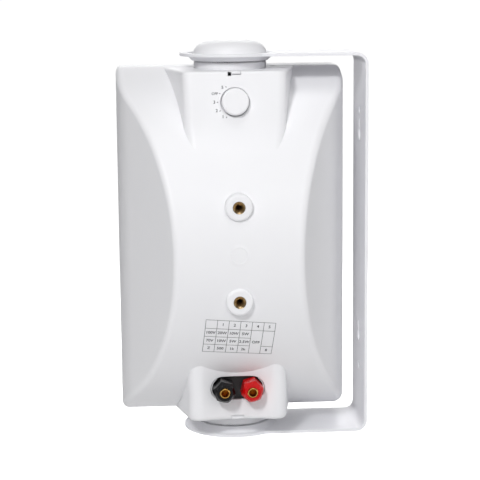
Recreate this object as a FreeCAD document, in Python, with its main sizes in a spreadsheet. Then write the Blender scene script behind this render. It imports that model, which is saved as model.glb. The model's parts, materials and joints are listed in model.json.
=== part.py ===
"""Two-way wall speaker on a U-shaped swivel bracket, modelled in millimetres with +Z up.

The origin is the centre of the bracket's wall face. The wall is the plane X = 0, the bracket
reaches out along -X, and the cabinet turns about a vertical axis between the bracket's two eyes.
At rest the cabinet's back looks along -Y and its front grille along +Y.
"""
import FreeCAD, Part
import Sketcher
import math
import os
import re

# Driving dimensions, in millimetres and degrees.
SIZES = {
    # Wall bracket, bent from flat steel.
    "axis_to_wall": 93.0,
    "bracket_height": 267.0,
    "plate": 2.0,
    "arm_width": 57.0,
    "eye_diameter": 70.0,
    "bend_radius": 6.0,
    "dish_mouth_radius": 30.0,
    "dish_floor_radius": 26.4,
    "dish_depth": 3.3,
    "wall_hole_spacing": 184.0,
    "wall_hole_diameter": 5.5,
    "keyhole_spacing": 145.0,
    "keyhole_rise": 3.0,
    "keyhole_diameter": 9.0,
    "keyhole_slot": 4.6,
    "keyhole_travel": 9.0,
    # Pivots.
    "bolt_diameter": 8.0,
    "bolt_flats": 13.0,
    "bolt_head": 5.3,
    "bolt_length": 24.0,
    "nut_height": 6.5,
    "washer_diameter": 20.0,
    "washer_thickness": 1.6,
    "running_gap": 0.05,
    "hole_gap": 0.3,
    "collar_diameter": 50.4,
    "collar_gap": 0.3,
    "tooth_count": 90,
    "tooth_height": 0.8,
    "tooth_width": 0.9,
    "tooth_length": 3.6,
    "cap_diameter": 51.2,
    "cap_height": 11.8,
    "cap_edge": 7.0,
    "cap_wall": 1.8,
    # Rear shell.
    "rim_width": 159.0,
    "body_height": 247.0,
    "seam_front": 36.0,
    "shell_wall": 3.0,
    "back_radius": 129.0,
    "back_depth": 76.0,
    "crown_radius": 15.0,
    "side_turn": 6.0,
    "side_radius": 60.0,
    "side_taper": 29.0,
    "edge_radius": 5.0,
    # Moulded blocks that carry the pivots, the selector and the terminals.
    "block_root_width": 92.0,
    "block_root_front": 13.0,
    "block_back_width": 69.0,
    "upper_block_depth": 43.5,
    "upper_block_drop": 0.7,
    "upper_block_tilt": 9.0,
    "upper_block_length": 62.0,
    "upper_block_round": 7.0,
    "upper_block_edge": 2.0,
    "block_blend": 60.0,
    "blend_sink": 0.15,
    "lower_block_depth": 50.0,
    "lower_block_length": 56.0,
    "lower_block_rise": 6.5,
    "lower_block_splay": 8.0,
    "lower_block_round": 8.0,
    "lower_block_edge": 3.0,
    "scoop_half": 26.0,
    "scoop_radius": 60.0,
    "terminal_wall": 3.0,
    "key_width": 9.0,
    "key_height": 2.5,
    "key_depth": 2.0,
    "latch_width": 2.4,
    "latch_depth": 12.0,
    "latch_lip": 0.7,
    # Threaded inserts in the back.
    "insert_high": 34.9,
    "insert_low": -28.7,
    "insert_diameter": 8.4,
    "insert_length": 14.0,
    "insert_thread": 5.0,
    "pad_diameter": 18.5,
    "pad_edge": 2.0,
    "insert_boss": 15.0,
    "insert_waist": 0.6,
    "insert_band": 5.0,
    # Selector.
    "knob_height_z": 102.4,
    "knob_diameter": 18.2,
    "knob_height": 7.0,
    "knob_sink": 2.0,
    "knob_gap": 0.8,
    "knob_foot_gap": 0.3,
    "knob_wall": 1.8,
    "knob_crown": 1.2,
    "knob_edge": 1.2,
    "shaft_diameter": 6.0,
    "bushing_diameter": 9.0,
    "switch_diameter": 26.0,
    "switch_depth": 13.0,
    "switch_nut_flats": 12.0,
    "switch_nut_height": 2.0,
    # Binding posts.
    "post_height": -95.0,
    "post_spacing": 19.05,
    "recess_width": 37.5,
    "recess_height": 16.5,
    "terminal_flange": 4.0,
    "terminal_plate": 2.5,
    "terminal_raise": 1.0,
    "post_diameter": 6.8,
    "post_socket": 4.0,
    "post_socket_depth": 14.0,
    "post_flange": 10.0,
    "post_flange_height": 1.5,
    "post_shank": 5.0,
    "post_tail": 12.0,
    "post_nut_flats": 8.0,
    "post_nut_height": 3.0,
    "cap_flats": 13.7,
    "black_cap_clock": 16.0,
    "red_cap_clock": -15.0,
    "cap_length": 15.0,
    "cap_stand": 2.0,
    "cap_lip": 1.5,
    "cap_bevel": 1.4,
    "cap_bevel_length": 4.5,
    "sleeve_wall": 1.2,
    # Front baffle and grille.
    "gasket": 0.8,
    "gasket_inset": 0.7,
    "frame_depth": 6.8,
    "tray_gap": 0.4,
    "tray_wall": 2.5,
    "tray_depth": 7.8,
    "panel": 3.5,
    "grille_gap": 0.4,
    "grille_sheet": 1.0,
    "grille_edge_front": 44.6,
    "grille_bow": 6.0,
    "grille_margin": 8.0,
    "grille_bar": 4.0,
    "grille_columns": 8,
    "grille_rows": 13,
    "corner_inner": 2.0,
    "corner_grille": 3.0,
    "pillar_diameter": 9.0,
    "pillar_x": 67.0,
    "pillar_z": 110.0,
    "pillar_mid_z": 14.0,
    # Woofer.
    "woofer_z": -42.0,
    "woofer_flange": 134.0,
    "woofer_flange_height": 2.0,
    "basket_mouth": 112.0,
    "basket_back": 62.0,
    "basket_depth": 38.0,
    "basket_wall": 1.5,
    "window_count": 6,
    "window_low": 23.0,
    "window_high": 8.0,
    "window_low_width": 16.0,
    "window_high_width": 22.0,
    "surround_outer": 104.0,
    "cone_diameter": 88.0,
    "cone_neck_depth": 16.0,
    "cone_wall": 0.7,
    "cone_curve": 80.0,
    "cone_gap": 0.3,
    "surround_wall": 0.8,
    "surround_lip": 3.5,
    "gasket_ring": 1.8,
    "coil_diameter": 25.6,
    "coil_wall": 0.8,
    "coil_length": 33.0,
    "air_gap": 0.4,
    "dust_cap_diameter": 36.0,
    "dust_cap_height": 6.0,
    "dust_cap_depth": 11.2,
    "spider_diameter": 72.0,
    "spider_depth": 27.0,
    "spider_wave": 1.2,
    "spider_waves": 6,
    "spider_wall": 0.6,
    "ledge_width": 4.0,
    "top_plate": 5.0,
    "magnet_diameter": 80.0,
    "magnet_bore": 40.0,
    "magnet_height": 15.0,
    "yoke_diameter": 72.0,
    "yoke_plate": 5.5,
    "woofer_screw_circle": 124.0,
    # Tweeter.
    "tweeter_z": 70.0,
    "tweeter_plate": 84.0,
    "tweeter_rim": 3.0,
    "tweeter_mouth": 56.0,
    "tweeter_throat": 28.0,
    "tweeter_throat_depth": 3.0,
    "tweeter_flare": 22.0,
    "tweeter_hub": 62.0,
    "tweeter_hub_depth": 6.0,
    "tweeter_dome": 25.4,
    "tweeter_dome_rise": 5.5,
    "tweeter_dome_wall": 0.5,
    "tweeter_magnet": 60.0,
    "tweeter_magnet_height": 18.0,
    "motor_step": 3.0,
    "tweeter_screw_circle": 74.0,
    # Screws.
    "screw_diameter": 3.2,
    "screw_head": 7.2,
    "screw_head_height": 2.2,
    "screw_length": 10.0,
    # Line transformer.
    "core_width": 48.0,
    "core_height": 36.0,
    "core_stack": 16.0,
    "core_limb": 8.0,
    "core_z": 63.0,
    "winding_reach": 7.0,
    "winding_gap": 0.4,
    "strap": 1.0,
    "strap_width": 14.0,
    "strap_foot": 12.0,
    "strap_seat": 47.0,
    # Crossover.
    "board_width": 64.0,
    "board_height": 64.0,
    "board": 1.6,
    "board_z": -10.0,
    "board_seat": 55.0,
    "board_hole_inset": 5.0,
    "standoff_diameter": 7.0,
    "inductor_diameter": 26.0,
    "inductor_bore": 12.0,
    "inductor_height": 13.0,
    "capacitor_diameter": 10.0,
    "capacitor_length": 22.0,
    "capacitor_edge": 1.0,
    "capacitor_x": 4.4,
    "capacitor_pitch": 11.0,
    "resistor_length": 22.0,
    "resistor_side": 8.0,
}

# Places and sizes that follow from the driving dimensions.
DERIVED = {
    "eye_top": "bracket_height/2",
    "eye_under": "bracket_height/2 - plate",
    "floor_top": "bracket_height/2 - dish_depth",
    "floor_under": "bracket_height/2 - dish_depth - plate",
    "body_top": "body_height/2",
    "bolt_radius": "bolt_diameter/2",
    "bolt_hole": "bolt_diameter/2 + running_gap",
    "back_centre": "back_radius - back_depth",
    "block_splay": "(block_root_width - block_back_width)/2/(block_root_front + upper_block_depth)",
    "upper_block_top": "body_height/2 - upper_block_drop",
    "face_offset": "upper_block_depth + back_centre",
    "blend_drop": "upper_block_top*cos(upper_block_tilt) - face_offset*sin(upper_block_tilt)",
    "blend_reach": "back_radius + block_blend - blend_sink",
    "blend_back": "face_offset + block_blend*cos(upper_block_tilt)",
    "blend_up": "upper_block_top + block_blend*sin(upper_block_tilt)",
    "blend_start": "blend_drop - sqrt(blend_drop^2 - blend_back^2 - blend_up^2 + blend_reach^2)",
    "knob_y": "-upper_block_depth - (upper_block_top - knob_height_z)*tan(upper_block_tilt)",
    "scoop_reach": "scoop_radius + lower_block_round",
    "scoop_rise": "scoop_reach - sqrt(scoop_reach^2 - scoop_half^2)",
    "scoop_share": "scoop_radius/scoop_reach",
    "lower_flank_x": "scoop_half + lower_block_round*cos(lower_block_splay)",
    "lower_flank_y": "lower_block_round*(1 - sin(lower_block_splay)) - lower_block_depth",
    "terminal_seat": "-lower_block_depth + scoop_rise + terminal_wall",
    "frame_back": "seam_front + gasket",
    "panel_front": "seam_front + gasket - tray_depth + panel",
    "panel_back": "seam_front + gasket - tray_depth",
    "tray_half_width": "rim_width/2 - shell_wall - tray_gap",
    "tray_half_height": "body_height/2 - shell_wall - tray_gap",
    "pocket_half_width": "tray_half_width - tray_wall",
    "pocket_half_height": "tray_half_height - tray_wall",
    "grille_half_width": "pocket_half_width - grille_gap",
    "grille_half_height": "pocket_half_height - grille_gap",
    "basket_back_radius": "basket_back/2",
    "plate_top": "-basket_depth - basket_wall",
    "plate_foot": "plate_top - top_plate",
    "magnet_foot": "plate_foot - magnet_height",
    "pole_radius": "coil_diameter/2 - coil_wall - air_gap",
    "gap_radius": "coil_diameter/2 + air_gap",
    "knob_pocket": "switch_nut_height + 1.0",
    "sleeve_bore": "post_diameter/2 + running_gap",
    "sleeve_radius": "post_diameter/2 + running_gap + sleeve_wall",
    "post_tip": "cap_stand + cap_length + hole_gap",
    "screw_radius": "screw_diameter/2",
    "board_hole_x": "board_width/2 - board_hole_inset",
    "board_hole_z": "board_height/2 - board_hole_inset",
    "strap_hole_x": "core_width/2 + strap + strap_foot/2",
}

WORD = re.compile(r"[a-z][a-z_]+")
SAME = 1e-4
AWAY = 5.0
Vector = FreeCAD.Vector

doc = FreeCAD.newDocument("wall_speaker")
sheet = doc.addObject("Spreadsheet::Sheet", "sizes")
for row, (word, size) in enumerate(SIZES.items(), start=1):
    sheet.set(f"A{row}", word)
    sheet.set(f"B{row}", str(size))
    sheet.setAlias(f"B{row}", word)
doc.recompute()


def cells(formula):
    """Turn a formula in the words above into an expression on the sheet's cells."""
    def swap(match):
        word = match.group()
        if word in DERIVED:
            return f"({cells(DERIVED[word])})"
        return f"sizes.{word}" if word in SIZES else word
    return WORD.sub(swap, formula)


def number(formula):
    """The value of a formula as it stands now."""
    return float(sheet.evalExpression(cells(formula)))


def add(kind, name, **settings):
    """A new object of the document, with its properties set."""
    item = doc.addObject(kind, name)
    for key, setting in settings.items():
        setattr(item, key, setting)
    return item


def sit(item, x="0", y="0", z="0", lean=None):
    """Place an object from the pivot axis at mid height; lean tips its +Z about X, in degrees."""
    if lean is not None:
        item.Placement = FreeCAD.Placement(Vector(), FreeCAD.Rotation(Vector(1, 0, 0), number(lean)))
        if number(lean) > 0:
            item.setExpression("Placement.Rotation.Angle", cells(lean))
    item.setExpression("Placement.Base.x", cells(f"{x} - axis_to_wall"))
    item.setExpression("Placement.Base.y", cells(y))
    item.setExpression("Placement.Base.z", cells(z))
    return item


def bind(sketch, constraint, formula):
    """Add a dimension to a sketch and tie it to the sheet."""
    index = sketch.addConstraint(constraint)
    sketch.setExpression(f"Constraints[{index}]", cells(formula))


def pin(sketch, geometry, end, x, y):
    """Dimension one point of a sketch from the sketch's origin."""
    for axis, formula in (("DistanceX", x), ("DistanceY", y)):
        bind(sketch, Sketcher.Constraint(axis, -1, 1, geometry, end, number(formula)), formula)


def outline(sketch, points):
    """Draw a closed outline. A point is (x, y), or (x, y, radius, side) where an arc ends there.

    The side is +1 where the arc bulges to the left of its direction of travel and -1 to the right.
    """
    first = sketch.GeometryCount
    spots = [Vector(number(point[0]), number(point[1]), 0) for point in points]
    ends = []
    for index, point in enumerate(points):
        start = spots[index - 1]
        stop = spots[index]
        if len(point) == 2:
            geometry = sketch.addGeometry(Part.LineSegment(start, stop))
        else:
            chord = stop - start
            radius = number(point[2])
            rise = radius - math.sqrt(radius ** 2 - (chord.Length / 2) ** 2)
            across = Vector(-chord.y, chord.x, 0).normalize() * point[3] * rise
            geometry = sketch.addGeometry(Part.Arc(start, (start + stop) / 2 + across, stop))
        turned_round = sketch.getPoint(geometry, 1).distanceToPoint(start) > SAME
        ends.append((2, 1) if turned_round else (1, 2))
    for index, point in enumerate(points):
        following = (index + 1) % len(points)
        joined = Sketcher.Constraint("Coincident", first + index, ends[index][1],
                                     first + following, ends[following][0])
        sketch.addConstraint(joined)
        pin(sketch, first + index, ends[index][1], point[0], point[1])
        if len(point) > 2:
            bind(sketch, Sketcher.Constraint("Radius", first + index, number(point[2])), point[2])


def circle(sketch, x, y, radius):
    """Draw a dimensioned circle."""
    centre = Vector(number(x), number(y), 0)
    geometry = sketch.addGeometry(Part.Circle(centre, Vector(0, 0, 1), number(radius)))
    pin(sketch, geometry, 3, x, y)
    bind(sketch, Sketcher.Constraint("Radius", geometry, number(radius)), radius)


def hexagon(sketch, flats, clock="0"):
    """Draw a hexagon about the sketch's origin, across its flats, turned by clock degrees."""
    points = []
    for corner in range(6):
        turn = f"{60 * corner + 30} + {clock}"
        points.append((f"{flats}/2/cos(30)*cos({turn})", f"{flats}/2/cos(30)*sin({turn})"))
    outline(sketch, points)


def rounded(sketch, half_width, half_height, radius):
    """Draw a rectangle with round corners about the sketch's origin."""
    a = f"({half_width})"
    b = f"({half_height})"
    r = f"({radius})"
    outline(sketch, [
        (f"{a} - {r}", f"-{b}"), (a, f"{r} - {b}", r, -1),
        (a, f"{b} - {r}"), (f"{a} - {r}", b, r, -1),
        (f"{r} - {a}", b), (f"-{a}", f"{b} - {r}", r, -1),
        (f"-{a}", f"{r} - {b}"), (f"{r} - {a}", f"-{b}", r, -1)])


def body_sketch(body, plane, name, lift="0"):
    """A sketch on one of a body's own origin planes, lifted along the plane's normal."""
    support = [face for face in body.Origin.OriginFeatures if face.Role == plane][0]
    sketch = body.newObject("Sketcher::SketchObject", name)
    sketch.AttachmentSupport = [(support, "")]
    sketch.MapMode = "FlatFace"
    sketch.setExpression("AttachmentOffset.Base.z", cells(lift))
    return sketch


def feature(body, kind, name, sketch, length=None, back=False):
    """A sketch-based feature of a body: a pad, a pocket, or a turn about the sketch's upright axis."""
    made = body.newObject(f"PartDesign::{kind}", name)
    made.Profile = sketch
    if length is None:
        made.ReferenceAxis = (sketch, ["V_Axis"])
        made.Angle = 360
    else:
        made.setExpression("Length", cells(length))
        made.Reversed = back
    return made


def turned(label, points, **place):
    """A turned piece: its half section, as radius and height, revolved about its own Z axis."""
    body = add("PartDesign::Body", label)
    sketch = body_sketch(body, "XZ_Plane", f"{label}_section")
    outline(sketch, points)
    feature(body, "Revolution", f"{label}_turn", sketch)
    return sit(body, **place)


def padded(label, draw, length, lift="0", **place):
    """A piece of constant section: what draw puts in a sketch, padded along its own Z axis."""
    body = add("PartDesign::Body", label)
    sketch = body_sketch(body, "XY_Plane", f"{label}_outline", lift)
    draw(sketch)
    feature(body, "Pad", f"{label}_pad", sketch, length)
    return sit(body, **place)


def gathered(label, pieces):
    """Like pieces kept as one group of separate solids."""
    return add("Part::Compound", label, Links=pieces)


PLAN = FreeCAD.Rotation()
SIDE = FreeCAD.Rotation(Vector(0, 1, 0), Vector(0, 0, 1), Vector(1, 0, 0), "XYZ")
FRONT = FreeCAD.Rotation(Vector(-1, 0, 0), Vector(0, 0, 1), Vector(0, 1, 0), "XYZ")


def form(name, view, draw, length, start=None):
    """A straight-sided form: what is drawn in one view, run through to both sides or from a start."""
    sketch = add("Sketcher::SketchObject", f"{name}_outline")
    sketch.Placement = FreeCAD.Placement(Vector(), view)
    if callable(draw):
        draw(sketch)
    else:
        outline(sketch, draw)
    sit(sketch)
    if start is not None:
        axis = "z" if view is PLAN else "y"
        sketch.setExpression(f"Placement.Base.{axis}", cells(start))
    made = add("Part::Extrusion", name, Base=sketch, DirMode="Normal", Solid=True, Symmetric=start is None)
    made.setExpression("LengthFwd", cells(length))
    return made


def rod(name, radius, length, x="0", y="0", z="0", lean=None):
    """A plain cylinder, for bosses and holes."""
    made = add("Part::Cylinder", name)
    made.setExpression("Radius", cells(radius))
    made.setExpression("Height", cells(length))
    return sit(made, x, y, z, lean)


def block(name, width, depth, height, x="0", y="0", z="0"):
    """A plain box whose place is the middle of its least Y and least Z edge."""
    made = add("Part::Box", name)
    made.setExpression("Length", cells(width))
    made.setExpression("Width", cells(depth))
    made.setExpression("Height", cells(height))
    return sit(made, f"{x} - ({width})/2", y, z)


def joined(name, pieces):
    return add("Part::MultiFuse", name, Shapes=pieces, Refine=True)


def shared(name, pieces):
    return add("Part::MultiCommon", name, Shapes=pieces, Refine=True)


def less(name, base, tool):
    return add("Part::Cut", name, Base=base, Tool=tool, Refine=True)


def softened(name, base, radius, wanted):
    """Round those edges of a piece whose middle point is wanted."""
    doc.recompute()
    edges = []
    for index, edge in enumerate(base.Shape.Edges, start=1):
        middle = edge.valueAt((edge.FirstParameter + edge.LastParameter) / 2)
        middle.x += number("axis_to_wall")
        if wanted(middle):
            edges.append((index, number(radius), number(radius)))
    return add("Part::Fillet", name, Base=base, Edges=edges)


# Wall bracket: one strip of flat steel bent to a U, with a round eye at each end. Each eye is
# pressed into a shallow dish towards the cabinet. The upright bar carries the wall holes.
bracket = add("PartDesign::Body", "wall_bracket")
strip = body_sketch(bracket, "XZ_Plane", "bracket_strip", "-arm_width/2")
bar_face = "axis_to_wall - plate"
bend_outer = "bend_radius + plate"
outline(strip, [
    ("0", "eye_top"),
    (f"axis_to_wall - ({bend_outer})", "eye_top"),
    ("axis_to_wall", f"eye_top - ({bend_outer})", bend_outer, 1),
    ("axis_to_wall", f"({bend_outer}) - eye_top"),
    (f"axis_to_wall - ({bend_outer})", "-eye_top", bend_outer, 1),
    ("0", "-eye_top"),
    ("0", "-eye_under"),
    (f"{bar_face} - bend_radius", "-eye_under"),
    (bar_face, "bend_radius - eye_under", "bend_radius", -1),
    (bar_face, "eye_under - bend_radius"),
    (f"{bar_face} - bend_radius", "eye_under", "bend_radius", -1),
    ("0", "eye_under")])
feature(bracket, "Pad", "bracket_strip_pad", strip, "arm_width")
for side, low in (("upper", "eye_under"), ("lower", "-eye_top")):
    eye = body_sketch(bracket, "XY_Plane", f"bracket_{side}_eye", low)
    circle(eye, "0", "0", "eye_diameter/2")
    feature(bracket, "Pad", f"bracket_{side}_eye_pad", eye, "plate")
mouth = body_sketch(bracket, "XY_Plane", "bracket_dish_mouth", "eye_top")
circle(mouth, "0", "0", "dish_mouth_radius")
feature(bracket, "Pocket", "bracket_dish_cut", mouth, "bracket_height")
for side, way in (("upper", ""), ("lower", "-")):
    dish = body_sketch(bracket, "XZ_Plane", f"bracket_{side}_dish")
    outline(dish, [
        ("bolt_hole", f"{way}floor_under"),
        ("dish_floor_radius", f"{way}floor_under"),
        ("dish_mouth_radius", f"{way}eye_under"),
        ("dish_mouth_radius + plate", f"{way}eye_under"),
        ("dish_mouth_radius + plate", f"{way}eye_top"),
        ("dish_mouth_radius", f"{way}eye_top"),
        ("dish_floor_radius", f"{way}floor_top"),
        ("bolt_hole", f"{way}floor_top")])
    feature(bracket, "Revolution", f"bracket_{side}_dish_turn", dish)
wall_holes = body_sketch(bracket, "YZ_Plane", "bracket_wall_holes", "axis_to_wall")
for way in ("", "-"):
    circle(wall_holes, "0", f"{way}wall_hole_spacing/2", "wall_hole_diameter/2")
feature(bracket, "Pocket", "bracket_wall_hole_cut", wall_holes, "plate + bend_radius")
keyholes = body_sketch(bracket, "YZ_Plane", "bracket_keyholes", "axis_to_wall")
neck_drop = "sqrt((keyhole_diameter/2)^2 - (keyhole_slot/2)^2)"
for way in ("", "-"):
    middle = f"keyhole_rise {way or '+'} keyhole_spacing/2"
    outline(keyholes, [
        ("-keyhole_slot/2", f"{middle} + {neck_drop}"),
        ("0", f"{middle} - keyhole_diameter/2", "keyhole_diameter/2", -1),
        ("keyhole_slot/2", f"{middle} + {neck_drop}", "keyhole_diameter/2", -1),
        ("keyhole_slot/2", f"{middle} + keyhole_travel"),
        ("-keyhole_slot/2", f"{middle} + keyhole_travel", "keyhole_slot/2 + running_gap", -1)])
feature(bracket, "Pocket", "bracket_keyhole_cut", keyholes, "plate + bend_radius")
sit(bracket)

# Pivot cap: a hollow moulded cover that snaps into the upper dish over the bolt head.
turned("pivot_cap", [
    ("cap_diameter/2 - cap_wall", "0"),
    ("cap_diameter/2", "0"),
    ("cap_diameter/2", "cap_height - cap_edge"),
    ("cap_diameter/2 - cap_edge", "cap_height", "cap_edge", -1),
    ("0", "cap_height"),
    ("0", "cap_height - cap_wall"),
    ("cap_diameter/2 - cap_edge", "cap_height - cap_wall"),
    ("cap_diameter/2 - cap_wall", "cap_height - cap_edge", "cap_edge - cap_wall", 1)],
    z="floor_top")

# Pivot hardware, the same above and below: toothed collar, washer, bolt and captive nut.
collar_base = "floor_under - collar_gap - tooth_height - body_top"
for side, lean in (("upper", None), ("lower", "180")):
    way = "" if lean is None else "-"
    collar = add("PartDesign::Body", f"{side}_collar")
    ring = body_sketch(collar, "XY_Plane", f"{side}_collar_ring")
    circle(ring, "0", "0", "collar_diameter/2")
    circle(ring, "0", "0", "bolt_radius + hole_gap")
    feature(collar, "Pad", f"{side}_collar_pad", ring, collar_base)
    tooth = body_sketch(collar, "XY_Plane", f"{side}_collar_tooth", collar_base)
    outline(tooth, [
        ("collar_diameter/2 - tooth_length", "-tooth_width/2"),
        ("collar_diameter/2 - hole_gap", "-tooth_width/2"),
        ("collar_diameter/2 - hole_gap", "tooth_width/2"),
        ("collar_diameter/2 - tooth_length", "tooth_width/2")])
    tooth_pad = feature(collar, "Pad", f"{side}_collar_tooth_pad", tooth, "tooth_height")
    teeth = collar.newObject("PartDesign::PolarPattern", f"{side}_collar_teeth")
    teeth.Originals = [tooth_pad]
    teeth.Axis = (ring, ["N_Axis"])
    teeth.Angle = 360
    teeth.setExpression("Occurrences", cells("tooth_count"))
    collar.Tip = teeth
    sit(collar, z=f"{way}body_top", lean=lean)
    turned(f"{side}_washer", [
        ("bolt_radius + hole_gap", "0"), ("washer_diameter/2", "0"),
        ("washer_diameter/2", "washer_thickness"), ("bolt_radius + hole_gap", "washer_thickness")],
        z=f"{way}floor_top", lean=lean)
    bolt = add("PartDesign::Body", f"{side}_pivot_bolt")
    head = body_sketch(bolt, "XY_Plane", f"{side}_bolt_head")
    hexagon(head, "bolt_flats")
    feature(bolt, "Pad", f"{side}_bolt_head_pad", head, "bolt_head")
    shank = body_sketch(bolt, "XY_Plane", f"{side}_bolt_shank")
    circle(shank, "0", "0", "bolt_radius")
    feature(bolt, "Pad", f"{side}_bolt_shank_pad", shank, "bolt_length", back=True)
    sit(bolt, z=f"{way}(floor_top + washer_thickness)", lean=lean)

    def nut_outline(sketch):
        hexagon(sketch, "bolt_flats")
        circle(sketch, "0", "0", "bolt_hole")

    padded(f"{side}_pivot_nut", nut_outline, "nut_height", "-nut_height",
           z=f"{way}(body_top - shell_wall)", lean=lean)


def cabinet_form(name, inset, front):
    """The cabinet's smooth form: a barrel-backed side view met by a tapering plan view."""
    top = f"(body_top - {inset})"
    crown = f"(crown_radius - {inset})"
    back = f"(back_radius - {inset})"
    crown_y = f"(back_centre - sqrt(({back} - {crown})^2 - ({top} - {crown})^2))"
    meet_y = f"(back_centre - {back}*(back_centre - {crown_y})/({back} - {crown}))"
    meet_z = f"({back}*({top} - {crown})/({back} - {crown}))"
    side_view = form(f"{name}_side", SIDE, [
        (front, f"-{top}"), (front, top), (crown_y, top), (meet_y, meet_z, crown, -1),
        (meet_y, f"-{meet_z}", back, -1), (crown_y, f"-{top}", crown, -1)], "2*rim_width")
    wide = f"(rim_width/2 - {inset})"
    curve = f"(side_radius - {inset})"
    bend_x = f"({wide} - {curve}*(1 - cos(side_taper)))"
    bend_y = f"(side_turn - {curve}*sin(side_taper))"
    tail_y = f"(-back_depth - {AWAY})"
    tail_x = f"({bend_x} - ({bend_y} - {tail_y})*tan(side_taper))"
    plan_view = form(f"{name}_plan", PLAN, [
        (f"-{wide}", front), (f"-{wide}", "side_turn"), (f"-{bend_x}", bend_y, curve, -1),
        (f"-{tail_x}", tail_y), (tail_x, tail_y), (bend_x, bend_y),
        (wide, "side_turn", curve, -1), (wide, front)], "2*body_height")
    return shared(name, [side_view, plan_view]), side_view, plan_view


# Rear shell: one hollow moulding. The outer form is rounded all along the line where the barrel
# back meets the sides, and the inner form lies one wall further in.
outer, outer_side, outer_plan = cabinet_form("shell_outer", "0", "seam_front")
doc.recompute()


def faces_along(extrusion, axis):
    """Those faces of a straight-sided form that run along its own axis."""
    return Part.makeCompound([
        face for face in extrusion.Shape.Faces if abs(face.normalAt(0, 0).dot(axis)) < 0.5])


side_faces = faces_along(outer_side, Vector(1, 0, 0))
plan_faces = faces_along(outer_plan, Vector(0, 0, 1))


def on_both(point):
    """True on the line where the side view's faces meet the plan view's faces."""
    spot = Part.Vertex(point - Vector(number("axis_to_wall"), 0, 0))
    near_side = spot.distToShape(side_faces)[0] < SAME
    return near_side and spot.distToShape(plan_faces)[0] < SAME and point.y < number("seam_front") - SAME


skin = softened("shell_skin", outer, "edge_radius", on_both)
inner = cabinet_form("shell_inner", "shell_wall", f"(seam_front + {AWAY})")[0]
core = cabinet_form("shell_mid_wall", "shell_wall/2", "seam_front")[0]


def block_half_width(y, inset="0"):
    """Half the width of the upper block at a place along Y; its flanks splay towards the front."""
    return f"(block_back_width/2 + ({y} + upper_block_depth)*block_splay - {inset})"


def upper_block(name, inset, top, back_face):
    """The block that carries the selector: level on top, over the back face that is given."""
    front = "block_root_front"
    rear = f"({inset} - back_depth)"
    plan = form(f"{name}_plan", PLAN, [
        (f"-{block_half_width(front, inset)}", front), (f"-{block_half_width(rear, inset)}", rear),
        (block_half_width(rear, inset), rear), (block_half_width(front, inset), front)],
        "upper_block_length", f"{top} - upper_block_length")
    side = form(f"{name}_side", SIDE, [
        (front, top), (f"{inset} - upper_block_depth", top)] + back_face + [
        (front, back_face[-1][1])], "2*rim_width")
    return shared(name, [plan, side])


def lower_flank(y, inset="0"):
    """Half the width of the lower block at a place along Y."""
    return (f"(lower_flank_x + ({y} - lower_flank_y)*tan(lower_block_splay)"
            f" - {inset}/cos(lower_block_splay))")


def lower_block(name, inset, low, rear, back_edge):
    """The block that carries the terminals: upright at the back, its underside rising to the rear."""
    front = "block_root_front"
    high = f"({low} + lower_block_length)"
    plan = form(f"{name}_plan", PLAN, [(f"-{lower_flank(front, inset)}", front)] + back_edge + [
        (lower_flank(front, inset), front)], "lower_block_length", low)
    side = form(f"{name}_side", SIDE, [
        (front, low), (front, high), (rear, high), (rear, f"{low} + lower_block_rise")], "2*rim_width")
    return shared(name, [plan, side])


# The upper block's back face is tipped up and runs into the barrel in a wide hollow curve.
face_end_y = "(-upper_block_depth - blend_start*sin(upper_block_tilt))"
face_end_z = "(upper_block_top - blend_start*cos(upper_block_tilt))"
blend_share = "((back_radius - blend_sink)/blend_reach)"
blend_end_y = f"(back_centre - (blend_back + blend_start*sin(upper_block_tilt))*{blend_share})"
blend_end_z = f"((blend_up - blend_start*cos(upper_block_tilt))*{blend_share})"
upper_solid = upper_block("upper_block", "0", "upper_block_top", [
    (face_end_y, face_end_z), (blend_end_y, blend_end_z, "block_blend", 1)])


def upper_upright_edge(point):
    """True on the upper block's upright back edges."""
    behind = point.y < -number("upper_block_depth") - SAME
    above_foot = point.z > number(blend_end_z) + SAME
    return behind and above_foot and abs(point.x) > SAME


def upper_top_edge(point):
    """True round the upper block's top, apart from the front edge, which the shell buries."""
    return point.z > number("upper_block_top") - SAME and point.y < number("block_root_front") - SAME


def lower_rim(point):
    """True round the lower block's underside, apart from the front edge, which the shell buries."""
    low = point.z < number("lower_block_rise - body_top") + SAME
    return low and point.y < number("block_root_front") - SAME


def pad_rim(point):
    """True on the outer rim of a pad on the barrel's back."""
    return point.y < SAME - number("back_depth") and abs(point.x) > SAME


upper_upright = softened("upper_block_upright", upper_solid, "upper_block_round", upper_upright_edge)
upper_soft = softened("upper_block_soft", upper_upright, "upper_block_edge", upper_top_edge)

# The lower block's back is scooped out between two round shoulders.
scoop_x = "(scoop_half*scoop_share)"
scoop_y = "(scoop_rise - lower_block_depth - scoop_radius + (scoop_reach - scoop_rise)*scoop_share)"
lower_solid = lower_block("lower_block", "0", "-body_top", "-lower_block_depth", [
    ("-lower_flank_x", "lower_flank_y"), (f"-{scoop_x}", scoop_y, "lower_block_round", -1),
    (scoop_x, scoop_y, "scoop_radius", 1), ("lower_flank_x", "lower_flank_y", "lower_block_round", -1)])
lower_soft = softened("lower_block_soft", lower_solid, "lower_block_edge", lower_rim)
pads = []
for side, height in (("high", "insert_high"), ("low", "insert_low")):
    pad = rod(f"insert_pad_{side}", "pad_diameter/2", "pad_diameter", "0", "pad_diameter - back_depth",
              height, "90")
    pads.append(softened(f"insert_pad_{side}_soft", pad, "pad_edge", pad_rim))
seats = rod("pivot_seat", "collar_diameter/2", "body_height", "0", "0", "-body_top")
solid = joined("shell_solid", [skin, upper_soft, lower_soft, seats] + pads)
room_foot_z = "(body_top - shell_wall - upper_block_length)"
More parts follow.
